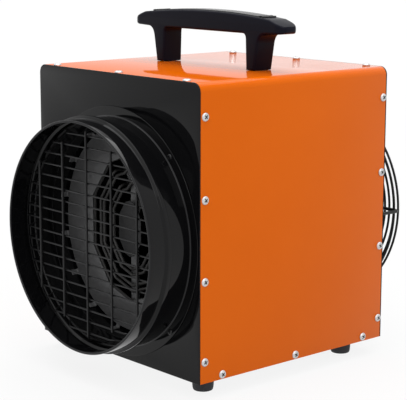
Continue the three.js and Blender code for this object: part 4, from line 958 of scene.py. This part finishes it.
side = [(0.0, GRIP_UNDER), *swept(*LEG_TO_GRIP, 8), (LEG_INNER, FIT), (LEG_OUTER, FIT),
        *swept(*LEG_TO_END, 8), *swept(*END_TO_TIP, 8),
        *swept(*TIP_TO_BACK, (SHOULDER_X, arch(SHOULDER_X)), 6)[1:]]
side += [(SHOULDER_X * i / 16, arch(SHOULDER_X * i / 16)) for i in range(15, -1, -1)]
outline = [(x, z + casing_top) for x, z in side + [(-x, z) for x, z in side[-2:0:-1]]]
grip = pressed("handle_moulding", [outline], handle_y - GRIP_DEPTH / 2, handle_y + GRIP_DEPTH / 2,
               GRIP_EDGE, 4)
work = bmesh.new()
work.from_mesh(grip.data)
round_start = GRIP_HALF - GRIP_DEPTH / 2
for way in (-1, 1):
    for share in END_CUTS:
        cut_x = way * (round_start + share * GRIP_DEPTH / 2) * mm
        bmesh.ops.bisect_plane(work, geom=work.verts[:] + work.edges[:] + work.faces[:],
                               plane_co=(cut_x, 0, 0), plane_no=(1, 0, 0))
for vert in work.verts:
    past = (abs(vert.co.x) / mm - round_start) / (GRIP_DEPTH / 2)
    if past > 0:
        narrow = sqrt(max(LEAST_WIDTH, 1 - past * past))
        vert.co.y = handle_y * mm + (vert.co.y - handle_y * mm) * narrow
work.to_mesh(grip.data)
work.free()
smoothed(grip.data)
fit_out(grip, black_plastic, "black_plastic", "handle")

grey_strip = skin_finish(
    "grey_strip", [(0.0065, 0.0065, 0.0070), (0.0085, 0.0085, 0.0090)], (0.24, 0.32),
    grain=1300, bump=0.14, patch=20.0, IOR=1.32)
PAD_HALF, PAD_WIDTH, PAD_SINK, PAD_RISE = 84.0, 20.0, 2.4, 0.85
LIP_STARTS, LIP_LENGTH, LIP_RISE = (84.6, 89.4), 2.6, 1.5


def let_in(name, stations, rise, rounds):
    """A strip let into the grip's back along its stations, that stands a little proud of it."""
    strip = [(x, casing_top + arch(x) + rise) for x in stations]
    strip += [(x, casing_top + arch(x) - PAD_SINK) for x in reversed(stations)]
    return pressed(name, [strip], handle_y - PAD_WIDTH / 2, handle_y + PAD_WIDTH / 2, 0.5, rounds)


pad = let_in("pad_strip", [PAD_HALF * (i / 12 - 1) for i in range(25)], PAD_RISE, 3)
lips = [let_in("pad_lip", sorted((way * start, way * (start + LIP_LENGTH))), LIP_RISE, 2)
        for start in LIP_STARTS for way in (-1, 1)]
fit_out(joined("handle_pad_strip", pad, *lips), grey_strip, "grey_plastic", "handle_pad")


# ---- Screws
# Pan head cross-recess screws in zinc-plated steel hold the panels, the spigot, the guard, the
# motor and the feet. One head is made and set at each place facing outwards; the casing screws
# also get a dark cross in their recess, which is painted shade.

screw_plate = metal_finish(
    "screw_plate", [(0.50, 0.505, 0.51), (0.62, 0.625, 0.63)], (0.34, 0.44), 400, 900, 0.12, 0.6)
# The dark finish in the screw recesses is painted shade, standing in for the recess lying in shadow.
dark_recess = metal_finish(
    "dark_recess", [(0.020, 0.020, 0.021), (0.035, 0.035, 0.036)], (0.5, 0.7), 400, 900, 0.12, 0.3)
HEAD_RADIUS, HEAD_HEIGHT, HEAD_SKIRT, HEAD_TUCK, HEAD_CREASE = 4.5, 2.2, 0.15, 0.15, 35
RECESS_ARM, RECESS_REACH, RECESS_DEPTH, RECESS_TAPER = 0.95, 3.1, 1.6, 0.55
SHADE_FLOOR, SHADE_TOP, SHADE_TAPER, TURN_SEED = 1.1, 0.40, 0.8, 7


def cross_prism(name, low, high, taper):
    """A cross that stands on its narrower end, along Z."""
    arm, reach = RECESS_ARM, RECESS_REACH
    cross, quarter = [], [(arm, arm), (arm, reach), (-arm, reach)]
    for _ in range(4):
        cross += quarter
        quarter = [(-y, x) for x, y in quarter]
    count = len(cross)
    corners = [(x * taper, y * taper, low) for x, y in cross] + [(x, y, high) for x, y in cross]
    faces = [tuple(range(count))[::-1], tuple(range(count, 2 * count)), *side_faces(count)]
    return new_piece(name, corners, faces)


def pan_head():
    """The head of a screw on the origin, facing +Z, with its cross recess cut in."""
    angles = [i * pi / 12 for i in range(1, 6)]
    dome = [(0, HEAD_HEIGHT),
            *[(HEAD_RADIUS * sin(a) ** 0.8, HEAD_HEIGHT * max(0.0, cos(a)) ** 0.7) for a in angles],
            (HEAD_RADIUS, HEAD_HEIGHT * HEAD_SKIRT), (HEAD_RADIUS - HEAD_TUCK, 0), (0, 0)]
    head = turned("screw_head", dome, (0, 0, 0), 28, crease=40, upright=True)
    driver = cross_prism("cross", HEAD_HEIGHT - RECESS_DEPTH, HEAD_HEIGHT + 1, RECESS_TAPER)
    recess = head.modifiers.new("recess", "BOOLEAN")
    recess.operation, recess.object, recess.solver = "DIFFERENCE", driver, "EXACT"
    head.data = worked_out(head)
    head.modifiers.clear()
    head.data.set_sharp_from_angle(angle=radians(HEAD_CREASE))
    bpy.data.objects.remove(driver)
    return head


# A screw head set at every point, facing as the point says, its recess turned at random
screws_in_place, given, add = new_tree("screws_in_place", {"Head": "Object", "Size": "Float"})
points = add("GeometryNodeMeshToPoints", Mesh=given["Geometry"])["Points"]
head = add("GeometryNodeObjectInfo", Object=given["Head"])["Geometry"]
facing = add("GeometryNodeInputNamedAttribute", {"data_type": "FLOAT_VECTOR"}, Name="facing")["Attribute"]
aim = add("FunctionNodeAlignRotationToVector", {"axis": "Z"}, Vector=facing)["Rotation"]
chance = add("FunctionNodeRandomValue", Seed=TURN_SEED, _3=pi)[1]
spin = add("FunctionNodeAxisAngleToRotation", Axis=(0, 0, 1), Angle=chance)["Rotation"]
both = add("FunctionNodeRotateRotation", {"rotation_space": "LOCAL"}, Rotation=aim, Rotate_By=spin)
copies = add("GeometryNodeInstanceOnPoints", Points=points, Instance=head, Rotation=both["Rotation"],
             Scale=given["Size"])
ended(screws_in_place, given, copies["Instances"])
screw_head = pan_head()
# A dark cross sunk in each casing screw's recess: painted shade.
recess_grime = cross_prism("recess_grime", HEAD_HEIGHT - SHADE_FLOOR, HEAD_HEIGHT - SHADE_TOP, SHADE_TAPER)


def screws(name, places, finish, slot, size=1.0, head=screw_head):
    """Screws at places given as a point, in millimetres, and the way the head faces."""
    mesh = bpy.data.meshes.new(name)
    mesh.from_pydata([tuple(Vector(spot) * mm) for spot, way in places], [], [])
    facing = mesh.attributes.new("facing", "FLOAT_VECTOR", "POINT")
    for i, (spot, way) in enumerate(places):
        facing.data[i].vector = way
    piece = run_tree(placed(name, mesh), screws_in_place, Head=head, Size=size, Finish=finish)
    fit_out(piece, finish, slot)


SIDE_COLUMNS, COLUMN_RISES = (-131.4, 132.6), (23.1, 107.7, 192.4, 276.9)
ROW_RISE, ROW_PLACES = 5.4, (-107.0, 0.0, 107.6)
TOP_XS, TOP_YS = (-111, 0, 111), (-132.8, 132.8)
EYE_CIRCLE, FLANGE_CIRCLE = 128.0, 130.6
casing_middle = (front_face + rear_face) / 2
casing_places = []
for way in (-1, 1):
    spots = [(y, rise) for y in SIDE_COLUMNS for rise in COLUMN_RISES] + [(y, ROW_RISE) for y in ROW_PLACES]
    casing_places += [((way * casing_half, casing_middle + y, casing_floor + rise), (way, 0, 0))
                      for y, rise in spots]
casing_places += [((x, casing_middle + y, casing_top), (0, 0, 1)) for x in TOP_XS for y in TOP_YS]
guard_places = [((x, eye_y + EYE_SHEET / 2, z), (0, 1, 0)) for x, z in circle(0, duct_z, EYE_CIRCLE, 4)]
guard_places += [((x, mount_back, z), (0, 1, 0)) for x, z in mount_spots]
flange_places = [((x, flange_front, z), (0, -1, 0)) for x, z in circle(0, duct_z, FLANGE_CIRCLE, 4, 0.5)]
foot_places = [((*middle(node)[:2], FOOT_RECESS_DEPTH), (0, 0, -1)) for node in FEET]
screws("casing_screws", casing_places, screw_plate, "zinc_sheet")
screws("casing_screw_recesses", casing_places, dark_recess, "zinc_sheet", head=recess_grime)
screws("guard_screws", guard_places, screw_plate, "zinc_sheet", 0.85)
screws("spigot_screws", flange_places, black_dip, "black_wire", 0.7)
screws("foot_screws", foot_places, screw_plate, "zinc_sheet")
bpy.data.objects.remove(screw_head)
bpy.data.objects.remove(recess_grime)


# ---- Studio
# A plain pale floor, soft light from three wide suns and the sky, and a camera at the
# photograph's place, with its lens and tilt. None of it belongs to the heater.

FLOOR, FLOOR_TONE, FLOOR_GLOW = 30.0, 0.60, 0.86
SKY_LIGHT, SKY_SEEN = 0.58, 1.0
SUNS = (("key", (1.0, -0.55, 1.1), 1.18, 40), ("fill", (-0.2, -1.0, 0.9), 0.43, 60),
        ("top", (-0.2, 0.3, 2.0), 2.6, 60))
CAMERA_PLACE, CAMERA_AIM, CAMERA_TILT = (1.19501, -1.05797, 0.47797), (-0.7385, 0.6483, -0.1856), 0.13
SENSOR, LENS = 36.0, 126.1


def seen_directly(tree):
    """1 for what the camera, a gloss or a glass sees, and 0 for the light that falls on things."""
    ray, largest = add_node(tree, "ShaderNodeLightPath"), {"operation": "MAXIMUM"}
    either = add_node(tree, "ShaderNodeMath", largest, _0=ray["Is Camera Ray"], _1=ray["Is Glossy Ray"])
    return add_node(tree, "ShaderNodeMath", largest, _0=either[0], _1=ray["Is Transmission Ray"])[0]


floor_mesh = bpy.data.meshes.new("floor")
floor_mesh.from_pydata(
    [(-FLOOR, -FLOOR, 0), (FLOOR, -FLOOR, 0), (FLOOR, FLOOR, 0), (-FLOOR, FLOOR, 0)], [], [(0, 1, 2, 3)])
floor = placed("floor", floor_mesh)
floor_paint = bpy.data.materials.new("floor_paint")
floor_paint.use_nodes = True
floor_tree = floor_paint.node_tree
paint = floor_tree.nodes["Principled BSDF"]
feed(floor_tree, paint, Base_Color=(FLOOR_TONE, FLOOR_TONE, FLOOR_TONE, 1), Roughness=0.9,
     Specular_IOR_Level=0.0)
glow = add_node(floor_tree, "ShaderNodeEmission", Strength=1.0)["Emission"]
share = add_node(floor_tree, "ShaderNodeMath", {"operation": "MULTIPLY"}, _0=seen_directly(floor_tree),
                 _1=FLOOR_GLOW)["Value"]
blend = add_node(floor_tree, "ShaderNodeMixShader", _0=share, _1=paint.outputs["BSDF"], _2=glow)["Shader"]
feed(floor_tree, floor_tree.nodes["Material Output"], Surface=blend)
floor.data.materials.append(floor_paint)
floor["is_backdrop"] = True

world = bpy.data.worlds.new("studio")
bpy.context.scene.world = world
world.use_nodes = True
sky = world.node_tree
level = add_node(sky, "ShaderNodeMapRange", Value=seen_directly(sky), To_Min=SKY_LIGHT, To_Max=SKY_SEEN)
feed(sky, sky.nodes["Background"], Color=(1, 1, 1, 1), Strength=level["Result"])

for name, spot, strength, spread in SUNS:
    data = bpy.data.lights.new(name, "SUN")
    data.energy, data.angle = strength, radians(spread)
    placed(name, data).rotation_euler = (-Vector(spot)).to_track_quat("-Z", "Y").to_euler()

camera_data = bpy.data.cameras.new("camera")
camera_data.sensor_width, camera_data.lens = SENSOR, LENS
camera = placed("camera", camera_data)
camera.location = CAMERA_PLACE
camera.rotation_mode = "QUATERNION"
tilt = Matrix.Rotation(radians(CAMERA_TILT), 4, "Z").to_quaternion()
camera.rotation_quaternion = Vector(CAMERA_AIM).to_track_quat("-Z", "Y") @ tilt
bpy.context.scene.camera = camera
bpy.context.scene.view_settings.view_transform = "Standard"

low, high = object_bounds()
